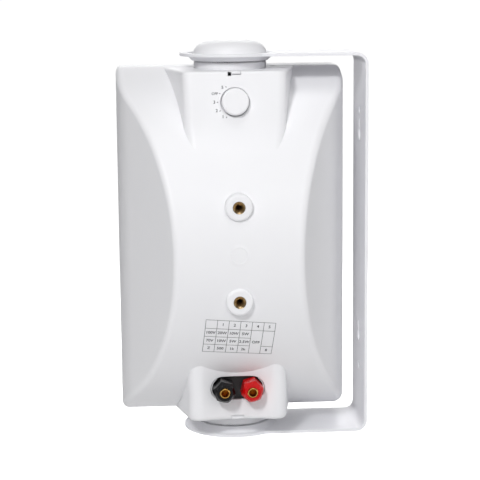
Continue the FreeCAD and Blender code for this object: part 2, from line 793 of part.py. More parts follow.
upper_room = upper_block("upper_room", "shell_wall", "(body_top - shell_wall)", [
    ("shell_wall - upper_block_depth - upper_block_length*tan(upper_block_tilt)", room_foot_z)])
room_flank = lower_flank("terminal_seat", "shell_wall")
lower_room = lower_block("lower_room", "shell_wall", "(shell_wall - body_top)", "terminal_seat", [
    (f"-{room_flank}", "terminal_seat"), (room_flank, "terminal_seat")])
hollow = joined("shell_hollow", [inner, upper_room, lower_room])
hull = less("shell_hull", solid, hollow)

inner_posts = []
holes = []


def screw_post(name, diameter, x, y, z):
    """A post that rises inside the shell to a seat at y, drilled for a screw."""
    inner_posts.append(rod(name, f"{diameter}/2", f"{y} + back_depth", x, y, z, "90"))
    holes.append(rod(f"{name}_hole", "screw_radius + running_gap", "screw_length", x, y, z, "90"))


for side, way in (("left", "-"), ("right", "")):
    for index, z in enumerate(("-pillar_z", "pillar_mid_z", "pillar_z")):
        screw_post(f"pillar_{side}_{index}", "pillar_diameter", f"{way}pillar_x", "panel_back", z)
    for level, lift in (("low", "-"), ("high", "+")):
        screw_post(f"standoff_{side}_{level}", "standoff_diameter", f"{way}board_hole_x", "-board_seat",
                   f"board_z {lift} board_hole_z")
    screw_post(f"strap_post_{side}", "pillar_diameter", f"{way}strap_hole_x", "-strap_seat", "core_z")
for side, height in (("high", "insert_high"), ("low", "insert_low")):
    inner_posts.append(rod(f"insert_boss_{side}", "insert_boss/2", "insert_length + shell_wall", "0",
                           "insert_length + shell_wall - back_depth", height, "90"))
    holes.append(rod(f"insert_bore_{side}", "insert_diameter/2 + running_gap", "insert_length + shell_wall",
                     "0", "insert_length - back_depth", height, "90"))
posts = shared("shell_posts", [joined("shell_post_rods", inner_posts), core])

holes.append(rod("pivot_bore", "bolt_radius + hole_gap", "2*body_height", "0", "0", "-body_height"))
holes.append(rod("lower_nut_pocket", "bolt_flats/2/cos(30) + hole_gap", "nut_height", "0", "0",
                 "shell_wall - body_top"))
knob_lean = "90 - upper_block_tilt"
knob_recess = rod("knob_recess", "knob_diameter/2 + knob_gap", "knob_sink + knob_height", "0",
                  "knob_y + knob_sink*cos(upper_block_tilt)",
                  "knob_height_z - knob_sink*sin(upper_block_tilt)", knob_lean)
bushing_bore = rod("bushing_bore", "bushing_diameter/2 + running_gap", "4*shell_wall", "0",
                   "knob_y + 3*shell_wall*cos(upper_block_tilt)",
                   "knob_height_z - 3*shell_wall*sin(upper_block_tilt)", knob_lean)
recess_end = "(recess_width/2 - recess_height/2)"
recess = form("terminal_recess", FRONT, [
    (f"-{recess_end}", "post_height - recess_height/2", "recess_height/2", -1),
    (recess_end, "post_height - recess_height/2"),
    (f"{recess_end} + recess_height/2", "post_height", "recess_height/2", -1),
    (recess_end, "post_height + recess_height/2", "recess_height/2", -1),
    (f"-{recess_end}", "post_height + recess_height/2"),
    (f"-{recess_end} - recess_height/2", "post_height", "recess_height/2", -1)],
    "back_depth", "-back_depth - terminal_wall")
upper_key = block("upper_key_slot", "key_width", "2*key_depth", "2*key_height", "0",
                  "-upper_block_depth - key_depth", "upper_block_top - key_height")
lower_key = block("lower_key_slot", "key_width", "2*key_depth", "2*key_height", "0",
                  "scoop_rise - lower_block_depth - key_depth", "lower_block_rise - body_top - key_height")
latch_slot = block("latch_slot", "latch_width", "latch_depth", "key_height", "latch_width/2 - key_width/2",
                   "-upper_block_depth - key_depth", "upper_block_top - latch_lip - key_height")
drilled = joined("shell_holes", holes + [knob_recess, bushing_bore, recess, upper_key, latch_slot, lower_key])
less("rear_shell", joined("shell_with_posts", [hull, posts]), drilled)

# Threaded inserts: turned brass with a waist between two knurled bands, flush with the round pads.
insert_outer = "insert_diameter/2"
insert_inner = "insert_diameter/2 - insert_waist"
for side, height in (("upper", "insert_high"), ("lower", "insert_low")):
    turned(f"{side}_insert", [
        ("insert_thread/2", "-insert_length"), (insert_outer, "-insert_length"),
        (insert_outer, "insert_band - insert_length"),
        (insert_inner, "insert_band + insert_waist - insert_length"),
        (insert_inner, "-insert_band - insert_waist"), (insert_outer, "-insert_band"),
        (insert_outer, "0"), ("insert_thread/2", "0")], y="-back_depth", z=height, lean="90")


# Terminal plate: a moulded plate behind the lower block's wall, raised where it fills the recess.
def obround(sketch, grow):
    """A round-ended slot as wide as the terminal recess, grown all round."""
    end = "(recess_width/2 - recess_height/2)"
    round_end = f"(recess_height/2 + {grow})"
    outline(sketch, [
        (f"-{end}", f"-{round_end}", round_end, -1), (end, f"-{round_end}"),
        (f"{end} + {round_end}", "0", round_end, -1), (end, round_end, round_end, -1),
        (f"-{end}", round_end), (f"-{end} - {round_end}", "0", round_end, -1)])


terminal = add("PartDesign::Body", "terminal_plate")
flange = body_sketch(terminal, "XY_Plane", "terminal_flange_outline", "-terminal_plate")
obround(flange, "terminal_flange")
feature(terminal, "Pad", "terminal_flange_pad", flange, "terminal_plate")
face = body_sketch(terminal, "XY_Plane", "terminal_face_outline")
obround(face, "-hole_gap")
feature(terminal, "Pad", "terminal_face_pad", face, "terminal_raise")
post_holes = body_sketch(terminal, "XY_Plane", "terminal_post_holes", "terminal_raise")
for way in ("-", ""):
    circle(post_holes, f"{way}post_spacing/2", "0", "post_shank/2 + running_gap")
feature(terminal, "Pocket", "terminal_post_hole_cut", post_holes, "terminal_raise + terminal_plate")
sit(terminal, y="terminal_seat", z="post_height", lean="90")


# Binding posts: a fixed brass post with a plug socket in its end, a threaded brass sleeve that
# travels along it, and a plastic cap that turns the sleeve.
def post_nut_outline(sketch):
    hexagon(sketch, "post_nut_flats")
    circle(sketch, "0", "0", "post_shank/2 + running_gap")


nuts = []
post_base = "terminal_seat - terminal_raise"
cap_top = "cap_stand + cap_length"
sleeve_top = f"{cap_top} - cap_lip - hole_gap"
cap_corner = "cap_flats/2/cos(30) + hole_gap"
for colour, way in (("black", "-"), ("red", "")):
    place = {"x": f"{way}post_spacing/2", "y": post_base, "z": "post_height", "lean": "90"}
    turned(f"{colour}_post", [
        ("0", "-post_tail"), ("post_shank/2", "-post_tail"), ("post_shank/2", "0"), ("post_flange/2", "0"),
        ("post_flange/2", "post_flange_height"), ("post_diameter/2", "post_flange_height"),
        ("post_diameter/2", "post_tip"), ("post_socket/2", "post_tip"),
        ("post_socket/2", "post_tip - post_socket_depth"), ("0", "post_tip - post_socket_depth")], **place)
    turned(f"{colour}_cap_sleeve", [
        ("sleeve_bore", "cap_stand + hole_gap"), ("sleeve_radius", "cap_stand + hole_gap"),
        ("sleeve_radius", sleeve_top), ("sleeve_bore", sleeve_top)], **place)
    cap = add("PartDesign::Body", f"{colour}_cap")
    grip = body_sketch(cap, "XY_Plane", f"{colour}_cap_outline", "cap_stand")
    hexagon(grip, "cap_flats", f"{colour}_cap_clock")
    feature(cap, "Pad", f"{colour}_cap_pad", grip, "cap_length")
    bevel = body_sketch(cap, "XZ_Plane", f"{colour}_cap_bevel")
    outline(bevel, [
        ("cap_flats/2 - cap_bevel", cap_top), (cap_corner, f"{cap_top} - cap_bevel_length"),
        (cap_corner, cap_top)])
    feature(cap, "Groove", f"{colour}_cap_bevel_cut", bevel)
    bore = body_sketch(cap, "XZ_Plane", f"{colour}_cap_bore")
    outline(bore, [
        ("0", "cap_stand"), ("sleeve_radius + running_gap", "cap_stand"),
        ("sleeve_radius + running_gap", f"{cap_top} - cap_lip"),
        ("post_diameter/2 + hole_gap", f"{cap_top} - cap_lip"),
        ("post_diameter/2 + hole_gap", cap_top), ("0", cap_top)])
    feature(cap, "Groove", f"{colour}_cap_bore_cut", bore)
    sit(cap, **place)
    nuts.append(padded(f"{colour}_post_nut", post_nut_outline, "post_nut_height",
                       "-terminal_plate - post_nut_height", x=f"{way}post_spacing/2", y="terminal_seat",
                       z="post_height", lean="90"))
gathered("post_nuts", nuts)

# Selector: a rotary switch held by its nut from outside, with a plain round knob over the nut.
at_knob = {"y": "knob_y", "z": "knob_height_z", "lean": knob_lean}
block_wall = "(shell_wall + (shell_wall - upper_block_drop)*tan(upper_block_tilt))"
switch_seat = f"(-{block_wall}*cos(upper_block_tilt))"
bushing_top = "(switch_nut_height + hole_gap - knob_sink)"
shaft_hole = "shaft_diameter/2 + running_gap"
shaft_foot = f"{switch_seat} - switch_depth + shell_wall"
turned("switch_body", [
    ("0", f"{switch_seat} - switch_depth"), ("switch_diameter/2", f"{switch_seat} - switch_depth"),
    ("switch_diameter/2", switch_seat), ("bushing_diameter/2", switch_seat),
    ("bushing_diameter/2", bushing_top), (shaft_hole, bushing_top), (shaft_hole, shaft_foot),
    ("0", shaft_foot)], **at_knob)


def switch_nut_outline(sketch):
    hexagon(sketch, "switch_nut_flats")
    circle(sketch, "0", "0", "bushing_diameter/2 + running_gap")


padded("switch_nut", switch_nut_outline, "switch_nut_height", "-knob_sink", **at_knob)
knob_foot = "knob_foot_gap - knob_sink"
knob_ceiling = f"{knob_foot} + knob_pocket"
knob_top = "knob_height - knob_sink"
knob_bore_end = f"{knob_top} - knob_crown"
turned("selector_knob", [
    (shaft_hole, knob_ceiling), ("knob_diameter/2 - knob_wall", knob_ceiling),
    ("knob_diameter/2 - knob_wall", knob_foot), ("knob_diameter/2", knob_foot),
    ("knob_diameter/2", f"{knob_top} - knob_edge"),
    ("knob_diameter/2 - knob_edge", knob_top, "knob_edge", -1),
    ("0", knob_top), ("0", knob_bore_end), (shaft_hole, knob_bore_end)], **at_knob)
turned("switch_shaft", [
    ("0", f"{shaft_foot} + hole_gap"), ("shaft_diameter/2", f"{shaft_foot} + hole_gap"),
    ("shaft_diameter/2", f"{knob_bore_end} - running_gap"), ("0", f"{knob_bore_end} - running_gap")],
    **at_knob)


# Screws: pan heads that seat at their own Z = 0 and point along their own -Z.
def screw(name, **place):
    return turned(name, [
        ("0", "-screw_length"), ("screw_radius", "screw_radius - screw_length"), ("screw_radius", "0"),
        ("screw_head/2", "0"), ("screw_head/2", "screw_head_height/2"),
        ("screw_head/4", "screw_head_height", "screw_head/2", -1), ("0", "screw_head_height")], **place)


def diagonals(circle_size):
    """Four places on the diagonals of a circle, as offsets across and up."""
    reach = f"{circle_size}/2*cos(45)"
    return [(f"{across}{reach}", f"{up} {reach}") for across in ("-", "") for up in ("-", "+")]


def screw_ring(label, circle_size, y, z):
    """Four screws on the diagonals of a driver's flange."""
    return gathered(label, [
        screw(f"{label}_{index}", x=across, y=y, z=f"{z} {up}", lean="-90")
        for index, (across, up) in enumerate(diagonals(circle_size))])


def ring_holes(body, name, circle_size, lift, depth, y="0"):
    """Four screw holes on the diagonals, cut down from a lifted sketch."""
    sketch = body_sketch(body, "XY_Plane", name, lift)
    for across, up in diagonals(circle_size):
        circle(sketch, across, f"{y} {up}", "screw_radius + hole_gap")
    feature(body, "Pocket", f"{name}_cut", sketch, depth)


# Baffle gasket: a thin foam ring between the shell's front edge and the baffle's frame.
def gasket_outline(sketch):
    rounded(sketch, "rim_width/2 - gasket_inset", "body_height/2 - gasket_inset",
            "edge_radius - gasket_inset")
    rounded(sketch, "tray_half_width + tray_gap", "tray_half_height + tray_gap", "corner_inner")


padded("baffle_gasket", gasket_outline, "gasket", y="seam_front", lean="-90")

# Front baffle: a moulded tray. Its frame closes the shell's edge, its floor carries the drivers.
baffle = add("PartDesign::Body", "front_baffle")
frame = body_sketch(baffle, "XY_Plane", "baffle_frame")
rounded(frame, "rim_width/2", "body_height/2", "edge_radius")
feature(baffle, "Pad", "baffle_frame_pad", frame, "frame_depth")
tray = body_sketch(baffle, "XY_Plane", "baffle_tray")
rounded(tray, "tray_half_width", "tray_half_height", "corner_inner")
feature(baffle, "Pad", "baffle_tray_pad", tray, "tray_depth", back=True)
pocket = body_sketch(baffle, "XY_Plane", "baffle_pocket", "frame_depth")
rounded(pocket, "pocket_half_width", "pocket_half_height", "corner_inner")
feature(baffle, "Pocket", "baffle_pocket_cut", pocket, "frame_depth + tray_depth - panel")
openings = body_sketch(baffle, "XY_Plane", "baffle_openings", "frame_depth")
circle(openings, "0", "-woofer_z", "basket_mouth/2 + hole_gap")
circle(openings, "0", "-tweeter_z", "tweeter_hub/2 + hole_gap")
for x in ("-pillar_x", "pillar_x"):
    for z in ("-pillar_z", "pillar_mid_z", "pillar_z"):
        circle(openings, x, f"-({z})", "screw_radius + hole_gap")
baffle_depth = "frame_depth + tray_depth"
feature(baffle, "Pocket", "baffle_openings_cut", openings, baffle_depth)
for driver in ("woofer", "tweeter"):
    ring_holes(baffle, f"baffle_{driver}_holes", f"{driver}_screw_circle", "frame_depth", baffle_depth,
               f"-{driver}_z")
sit(baffle, y="frame_back", lean="-90")
gathered("baffle_screws", [
    screw(f"baffle_screw_{a}_{b}", x=x, y="panel_front", z=z, lean="-90")
    for a, x in enumerate(("-pillar_x", "pillar_x"))
    for b, z in enumerate(("-pillar_z", "pillar_mid_z", "pillar_z"))])


# Front grille: a pressed steel pan whose face bows forward across its width, pierced in rows.
def grille_form(name, inset, back):
    wide = f"(grille_half_width - {inset})"
    bow = "(grille_half_width^2/2/grille_bow + grille_bow/2)"
    centre = f"(grille_edge_front + grille_bow - {bow})"
    edge = f"({centre} + sqrt(({bow} - {inset})^2 - {wide}^2))"

    def pan(sketch):
        rounded(sketch, wide, f"grille_half_height - {inset}", f"corner_grille - {inset}")

    face = form(f"{name}_face", FRONT, pan, "back_depth", back)
    plan = form(f"{name}_plan", PLAN, [
        (f"-{wide}", back), (wide, back), (wide, edge), (f"-{wide}", edge, f"{bow} - {inset}", -1)],
        "2*body_height")
    return shared(name, [face, plan])


grille_pan = less("grille_pan", grille_form("grille_outer", "0", "panel_front"),
                  grille_form("grille_inner", "grille_sheet", f"(panel_front - {AWAY})"))
field_half_width = "(grille_half_width - grille_margin)"
field_half_height = "(grille_half_height - grille_margin)"
column_pitch = f"((2*{field_half_width} + grille_bar)/grille_columns)"
row_pitch = f"((2*{field_half_height} + grille_bar)/grille_rows)"
pierced_depth = "grille_bow + 2*grille_sheet"
pierced_back = "grille_edge_front - 2*grille_sheet"
field = block("grille_field", f"2*{field_half_width}", pierced_depth, f"2*{field_half_height}", "0",
              pierced_back, f"-{field_half_height}")
bars = [block(f"grille_bar_{index}", "grille_bar", pierced_depth, f"2*{field_half_height}",
              f"{index}*{column_pitch} - {field_half_width} - grille_bar/2", pierced_back,
              f"-{field_half_height}") for index in range(1, round(number("grille_columns")))]
bars += [block(f"grille_rung_{index}", f"2*{field_half_width}", pierced_depth, "grille_bar", "0",
               pierced_back, f"{index}*{row_pitch} - {field_half_height} - grille_bar")
         for index in range(1, round(number("grille_rows")))]
less("front_grille", grille_pan, less("grille_openings", field, joined("grille_bars", bars)))

# Woofer, front-mounted on the baffle's floor; heights run forward from the flange's seat.
at_woofer = {"y": "panel_front", "z": "woofer_z", "lean": "-90"}
lip = "woofer_flange_height"
roll_outer = "surround_outer/2"
ledge_z = "(-spider_depth - spider_wall)"
basket = add("PartDesign::Body", "woofer_basket")
section = body_sketch(basket, "XZ_Plane", "basket_section")
outline(section, [
    ("gap_radius + hole_gap", "plate_top"), ("basket_back_radius + basket_wall", "plate_top"),
    ("basket_mouth/2", "0"), ("woofer_flange/2", "0"), ("woofer_flange/2", lip),
    (f"{roll_outer} + hole_gap", lip), (f"{roll_outer} + hole_gap", "0"),
    ("spider_diameter/2 + hole_gap", f"{ledge_z} + spider_wall"),
    ("spider_diameter/2 + hole_gap", ledge_z), ("spider_diameter/2 - ledge_width", ledge_z),
    ("spider_diameter/2 - ledge_width", f"{ledge_z} - basket_wall"),
    ("basket_back_radius", "-basket_depth"), ("gap_radius + hole_gap", "-basket_depth")])
feature(basket, "Revolution", "basket_turn", section)
window = body_sketch(basket, "XZ_Plane", "basket_window")
outline(window, [
    ("-window_low_width/2", "-window_low"), ("window_low_width/2", "-window_low"),
    ("window_high_width/2", "-window_high"), ("-window_high_width/2", "-window_high")])
window_cut = feature(basket, "Pocket", "basket_window_cut", window, "woofer_flange")
windows = basket.newObject("PartDesign::PolarPattern", "basket_windows")
windows.Originals = [window_cut]
windows.Axis = (window, ["V_Axis"])
windows.Angle = 360
windows.setExpression("Occurrences", cells("window_count"))
basket.Tip = windows
ring_holes(basket, "basket_screw_holes", "woofer_screw_circle", lip, lip)
sit(basket, **at_woofer)
turned("woofer_top_plate", [
    ("gap_radius", "plate_foot"), ("yoke_diameter/2", "plate_foot"), ("yoke_diameter/2", "plate_top"),
    ("gap_radius", "plate_top")], **at_woofer)
turned("woofer_magnet", [
    ("magnet_bore/2", "magnet_foot"), ("magnet_diameter/2", "magnet_foot"),
    ("magnet_diameter/2", "plate_foot"), ("magnet_bore/2", "plate_foot")], **at_woofer)
turned("woofer_yoke", [
    ("0", "magnet_foot - yoke_plate"), ("yoke_diameter/2 - yoke_plate/3", "magnet_foot - yoke_plate"),
    ("yoke_diameter/2", "magnet_foot - yoke_plate*2/3"), ("yoke_diameter/2", "magnet_foot"),
    ("pole_radius", "magnet_foot"), ("pole_radius", "plate_top"), ("0", "plate_top")], **at_woofer)
coil_outer = "coil_diameter/2"
coil_inner = "coil_diameter/2 - coil_wall"
coil_foot = "-cone_neck_depth - coil_length"
turned("voice_coil", [
    (coil_inner, coil_foot), (coil_outer, coil_foot), (coil_outer, "-cone_neck_depth"),
    (coil_inner, "-cone_neck_depth")], **at_woofer)
cone_neck = "coil_diameter/2 + running_gap"
cone_top = f"{lip} - cone_gap"
neck_foot = "-cone_neck_depth - 2*cone_wall"
turned("woofer_cone", [
    (cone_neck, neck_foot), (f"{cone_neck} + cone_wall", neck_foot),
    ("cone_diameter/2", f"{cone_top} - cone_wall", "cone_curve", 1), ("cone_diameter/2", cone_top),
    (cone_neck, "-cone_neck_depth", "cone_curve + cone_wall", -1)], **at_woofer)


def dome_curve(radius, rise):
    """The radius of the ball that a dome of this foot radius and rise is cut from."""
    return f"((({radius})^2 + ({rise})^2)/2/({rise}))"


dust_outer = "dust_cap_diameter/2"
dust_inner = "dust_cap_diameter/2 - cone_wall"
dust_foot = "(-dust_cap_depth)"
under_dust = "dust_cap_height - cone_wall"
turned("dust_cap", [
    (dust_inner, dust_foot, dome_curve(dust_inner, under_dust), 1), (dust_outer, dust_foot),
    ("0", f"{dust_foot} + dust_cap_height", dome_curve(dust_outer, "dust_cap_height"), -1),
    ("0", f"{dust_foot} + {under_dust}")], **at_woofer)
roll_inner = "(cone_diameter/2 + cone_gap)"
roll_radius = f"(({roll_outer} - {roll_inner})*0.53)"
turned("woofer_surround", [
    ("cone_diameter/2 - surround_lip", lip), (roll_inner, lip),
    (roll_outer, lip, roll_radius, 1), (f"{roll_outer} + surround_lip", lip),
    (f"{roll_outer} + surround_lip", f"{lip} + surround_wall"),
    (f"{roll_outer} + surround_wall/2", f"{lip} + surround_wall"),
    (f"{roll_inner} - surround_wall/2", f"{lip} + surround_wall", f"{roll_radius} + surround_wall", -1),
    ("cone_diameter/2 - surround_lip", f"{lip} + surround_wall")], **at_woofer)
ring_inner = f"{roll_outer} + surround_wall"
ring_outer = f"{roll_outer} + surround_lip"
ring_foot = f"{lip} + surround_wall"
turned("woofer_gasket", [
    (ring_inner, ring_foot), (ring_outer, ring_foot), (ring_outer, f"{ring_foot} + gasket_ring"),
    (ring_inner, f"{ring_foot} + gasket_ring")], **at_woofer)
spider_start = "(coil_diameter/2 + cone_gap)"
spider_rim = "(spider_diameter/2 - ledge_width - hole_gap)"
wave_count = round(number("spider_waves"))
folds = [f"{spider_start} + {step}/{wave_count}*({spider_rim} - {spider_start})"
         for step in range(wave_count + 1)]
lifts = ["0"] + ["spider_wave" if step % 2 else "-spider_wave" for step in range(1, wave_count)] + ["0"]
under = [(fold, f"{ledge_z} + {lift}") for fold, lift in zip(folds, lifts)]
over = [(fold, f"{lift} - spider_depth") for fold, lift in zip(folds, lifts)]
turned("woofer_spider", under + [
    ("spider_diameter/2", ledge_z), ("spider_diameter/2", "-spider_depth")] + over[::-1], **at_woofer)
screw_ring("woofer_screws", "woofer_screw_circle", f"panel_front + {lip}", "woofer_z")

# Tweeter: a faceplate with a short flare, a cloth dome and a motor behind it.
at_tweeter = {"y": "panel_front", "z": "tweeter_z", "lean": "-90"}
faceplate = add("PartDesign::Body", "tweeter_faceplate")
section = body_sketch(faceplate, "XZ_Plane", "faceplate_section")
outline(section, [
    ("tweeter_throat/2", "-tweeter_hub_depth"), ("tweeter_hub/2", "-tweeter_hub_depth"),
    ("tweeter_hub/2", "0"), ("tweeter_plate/2", "0"), ("tweeter_plate/2", "tweeter_rim"),
    ("tweeter_mouth/2", "tweeter_rim"),
    ("tweeter_throat/2", "-tweeter_throat_depth", "tweeter_flare", -1)])
feature(faceplate, "Revolution", "faceplate_turn", section)
ring_holes(faceplate, "faceplate_holes", "tweeter_screw_circle", "tweeter_rim", "tweeter_rim")
sit(faceplate, **at_tweeter)
dome_foot = "(-tweeter_hub_depth)"
dome_radius = "((tweeter_dome^2/4 + tweeter_dome_rise^2)/2/tweeter_dome_rise)"
turned("tweeter_diaphragm", [
    ("tweeter_dome/2 - tweeter_dome_wall", dome_foot, f"{dome_radius} - tweeter_dome_wall/2", 1),
    ("tweeter_throat/2 - hole_gap", dome_foot),
    ("tweeter_throat/2 - hole_gap", f"{dome_foot} + tweeter_dome_wall"),
    ("tweeter_dome/2", f"{dome_foot} + tweeter_dome_wall"),
    ("0", f"{dome_foot} + tweeter_dome_wall + tweeter_dome_rise", dome_radius, -1),
    ("0", f"{dome_foot} + tweeter_dome_rise")], **at_tweeter)
motor_plate = "tweeter_magnet_height/4"
turned("tweeter_motor", [
    ("0", f"{dome_foot} - tweeter_magnet_height"),
    ("tweeter_magnet/2 - motor_step", f"{dome_foot} - tweeter_magnet_height"),
    ("tweeter_magnet/2 - motor_step", f"{dome_foot} - tweeter_magnet_height + {motor_plate}"),
    ("tweeter_magnet/2", f"{dome_foot} - tweeter_magnet_height + {motor_plate}"),
    ("tweeter_magnet/2", f"{dome_foot} - {motor_plate}"),
    ("tweeter_magnet/2 - motor_step", f"{dome_foot} - {motor_plate}"),
    ("tweeter_magnet/2 - motor_step", dome_foot), ("0", dome_foot)], **at_tweeter)
screw_ring("tweeter_screws", "tweeter_screw_circle", "panel_front + tweeter_rim", "tweeter_z")

# Line transformer: a laminated core with two windows, a winding on its middle limb and two angle
# feet that screw to the shell's posts.
core_back = "(winding_gap + winding_reach - strap_seat)"


def core_outline(sketch):
    half_width = "core_width/2"
    half_height = "core_height/2"
    outline(sketch, [(f"-{half_width}", f"-{half_height}"), (half_width, f"-{half_height}"),
                     (half_width, half_height), (f"-{half_width}", half_height)])
    for way in ("-", ""):
        near = f"{way}core_limb"
        far = f"{way}(core_width/2 - core_limb)"
        outline(sketch, [(near, "core_limb - core_height/2"), (far, "core_limb - core_height/2"),
                         (far, "core_height/2 - core_limb"), (near, "core_height/2 - core_limb")])


padded("transformer_core", core_outline, "core_stack", y=core_back, z="core_z", lean="-90")


def winding_outline(sketch):
    rounded(sketch, "core_width/2 - core_limb - winding_gap", "core_stack/2 + winding_reach", "core_limb/2")
    rounded(sketch, "core_limb + winding_gap", "core_stack/2 + winding_gap", "winding_gap")


padded("transformer_winding", winding_outline, "core_height - 2*core_limb - 2*winding_gap",
       y=f"{core_back} + core_stack/2", z="core_z - core_height/2 + core_limb + winding_gap")
feet = []
for side, way in (("left", "-"), ("right", "")):
    angle = form(f"transformer_angle_{side}", PLAN, [
        (f"{way}core_width/2", "-strap_seat"), (f"{way}(core_width/2 + strap + strap_foot)", "-strap_seat"),
        (f"{way}(core_width/2 + strap + strap_foot)", "strap - strap_seat"),
        (f"{way}(core_width/2 + strap)", "strap - strap_seat"),
        (f"{way}(core_width/2 + strap)", f"{core_back} + core_stack"),
        (f"{way}core_width/2", f"{core_back} + core_stack")], "strap_width", "core_z - strap_width/2")
    drill = rod(f"transformer_angle_hole_{side}", "screw_radius + hole_gap", "3*strap",
                f"{way}strap_hole_x", "2*strap - strap_seat", "core_z", "90")
    feet.append(less(f"transformer_foot_{side}", angle, drill))
gathered("transformer_feet", feet)
gathered("transformer_screws", [
    screw(f"transformer_screw_{side}", x=f"{way}strap_hole_x", y="strap - strap_seat", z="core_z",
          lean="-90")
    for side, way in (("left", "-"), ("right", ""))])


# Crossover: a board on four posts with an air-core coil, two capacitors and a resistor.
def board_outline(sketch):
    rounded(sketch, "board_width/2", "board_height/2", "corner_inner")
    for x in ("-board_hole_x", "board_hole_x"):
        for z in ("-board_hole_z", "board_hole_z"):
            circle(sketch, x, z, "screw_radius + hole_gap")


board_front = "(board - board_seat)"
padded("crossover_board", board_outline, "board", y="-board_seat", z="board_z", lean="-90")
gathered("board_screws", [
    screw(f"board_screw_{a}_{b}", x=x, y=board_front, z=f"board_z {way} board_hole_z", lean="-90")
    for a, x in enumerate(("-board_hole_x", "board_hole_x")) for b, way in enumerate(("-", "+"))])
turned("crossover_coil", [
    ("inductor_bore/2", "0"), ("inductor_diameter/2", "0"), ("inductor_diameter/2", "inductor_height"),
    ("inductor_bore/2", "inductor_height")], x="-board_width/4", y=board_front, z="board_z", lean="-90")
gathered("crossover_capacitors", [
    turned(f"crossover_capacitor_{index}", [
        ("0", "0"), ("capacitor_diameter/2 - capacitor_edge", "0"),
        ("capacitor_diameter/2", "capacitor_edge", "capacitor_edge", -1),
        ("capacitor_diameter/2", "capacitor_length"), ("0", "capacitor_length")],
        x=f"capacitor_x + {index}*capacitor_pitch", y=f"{board_front} + capacitor_diameter/2",
        z="board_z - capacitor_length/2")
    for index in range(2)])
block("crossover_resistor", "resistor_length", "resistor_side", "resistor_side",
      "capacitor_x + capacitor_pitch/2", board_front, "board_z + capacitor_length/2 + resistor_side/2")

NODES = [
    "wall_bracket", "pivot_cap", "rear_shell", "front_baffle", "baffle_gasket", "front_grille",
    "baffle_screws", "upper_collar", "upper_washer", "upper_pivot_bolt", "upper_pivot_nut",
    "lower_collar", "lower_washer", "lower_pivot_bolt", "lower_pivot_nut", "upper_insert", "lower_insert",
    "terminal_plate", "post_nuts", "black_post", "black_cap_sleeve", "black_cap",
    "red_post", "red_cap_sleeve", "red_cap", "switch_body", "switch_nut", "switch_shaft", "selector_knob",
    "woofer_basket", "woofer_top_plate", "woofer_magnet", "woofer_yoke", "voice_coil", "woofer_cone",
    "dust_cap", "woofer_surround", "woofer_spider", "woofer_gasket", "woofer_screws",
    "tweeter_faceplate", "tweeter_diaphragm", "tweeter_motor", "tweeter_screws",
    "transformer_core", "transformer_winding", "transformer_feet", "transformer_screws",
    "crossover_board", "board_screws", "crossover_coil", "crossover_capacitors", "crossover_resistor"]

doc.recompute()
for item in doc.Objects:
    if {"Invalid", "Error"} & set(item.State):
        raise RuntimeError(f"{item.Name} failed to recompute")
for name in NODES:
    shape = doc.getObject(name).Shape
    if shape.isNull() or not shape.isValid() or not shape.Solids:
        raise RuntimeError(f"{name} has no valid solid")
os.makedirs("parts", exist_ok=True)
for name in NODES:
    shape = doc.getObject(name).Shape
    shape.exportStep(f"parts/{name}.step")
    print(name, len(shape.Solids), round(shape.Volume, 1))
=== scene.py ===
"""A white two-way wall speaker on its U-shaped swivel bracket: finishes, print and fine forms.

Everything is in metres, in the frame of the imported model: the wall is the plane X = 0, the pivot
axis stands upright in front of it, and the cabinet's back looks along -Y.
"""
import json
import math

import bmesh
import bpy
from mathutils import Matrix, Vector


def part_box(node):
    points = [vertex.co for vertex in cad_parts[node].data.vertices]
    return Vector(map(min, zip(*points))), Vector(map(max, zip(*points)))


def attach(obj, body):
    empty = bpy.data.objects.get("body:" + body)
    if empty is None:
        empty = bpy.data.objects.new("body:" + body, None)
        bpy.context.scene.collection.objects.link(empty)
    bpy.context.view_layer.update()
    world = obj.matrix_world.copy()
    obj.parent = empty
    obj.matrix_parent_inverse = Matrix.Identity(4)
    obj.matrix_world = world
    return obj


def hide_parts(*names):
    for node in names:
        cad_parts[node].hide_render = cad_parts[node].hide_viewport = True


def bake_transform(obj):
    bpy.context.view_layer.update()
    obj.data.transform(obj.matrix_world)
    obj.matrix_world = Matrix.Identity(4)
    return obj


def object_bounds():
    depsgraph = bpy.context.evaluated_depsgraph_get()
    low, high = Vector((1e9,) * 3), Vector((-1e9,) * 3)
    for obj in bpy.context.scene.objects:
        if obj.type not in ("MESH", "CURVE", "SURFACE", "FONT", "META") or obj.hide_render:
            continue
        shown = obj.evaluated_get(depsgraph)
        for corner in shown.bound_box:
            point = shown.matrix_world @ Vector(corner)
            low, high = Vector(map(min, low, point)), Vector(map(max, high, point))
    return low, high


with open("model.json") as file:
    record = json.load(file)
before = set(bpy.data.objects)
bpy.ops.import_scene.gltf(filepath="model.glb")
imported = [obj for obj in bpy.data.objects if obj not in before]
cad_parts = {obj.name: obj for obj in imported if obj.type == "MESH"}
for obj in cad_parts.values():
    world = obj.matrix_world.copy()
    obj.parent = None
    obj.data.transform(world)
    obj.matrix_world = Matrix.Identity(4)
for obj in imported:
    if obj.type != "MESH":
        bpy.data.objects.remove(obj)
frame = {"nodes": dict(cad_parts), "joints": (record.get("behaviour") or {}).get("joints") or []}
cad_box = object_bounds()
MM = 0.001

# Wall bracket: one strip of flat steel, pierced, dished at both eyes and bent to a U in a press.
# It is powder coated after the bending, so the coat runs over every edge and into the holes.


def linear(colour):
    """An sRGB hex colour as linear red, green, blue and alpha."""
    shares = [int(colour[place:place + 2], 16) / 255 for place in (0, 2, 4)]
    return [share / 12.92 if share < 0.04045 else ((share + 0.055) / 1.055) ** 2.4
            for share in shares] + [1]


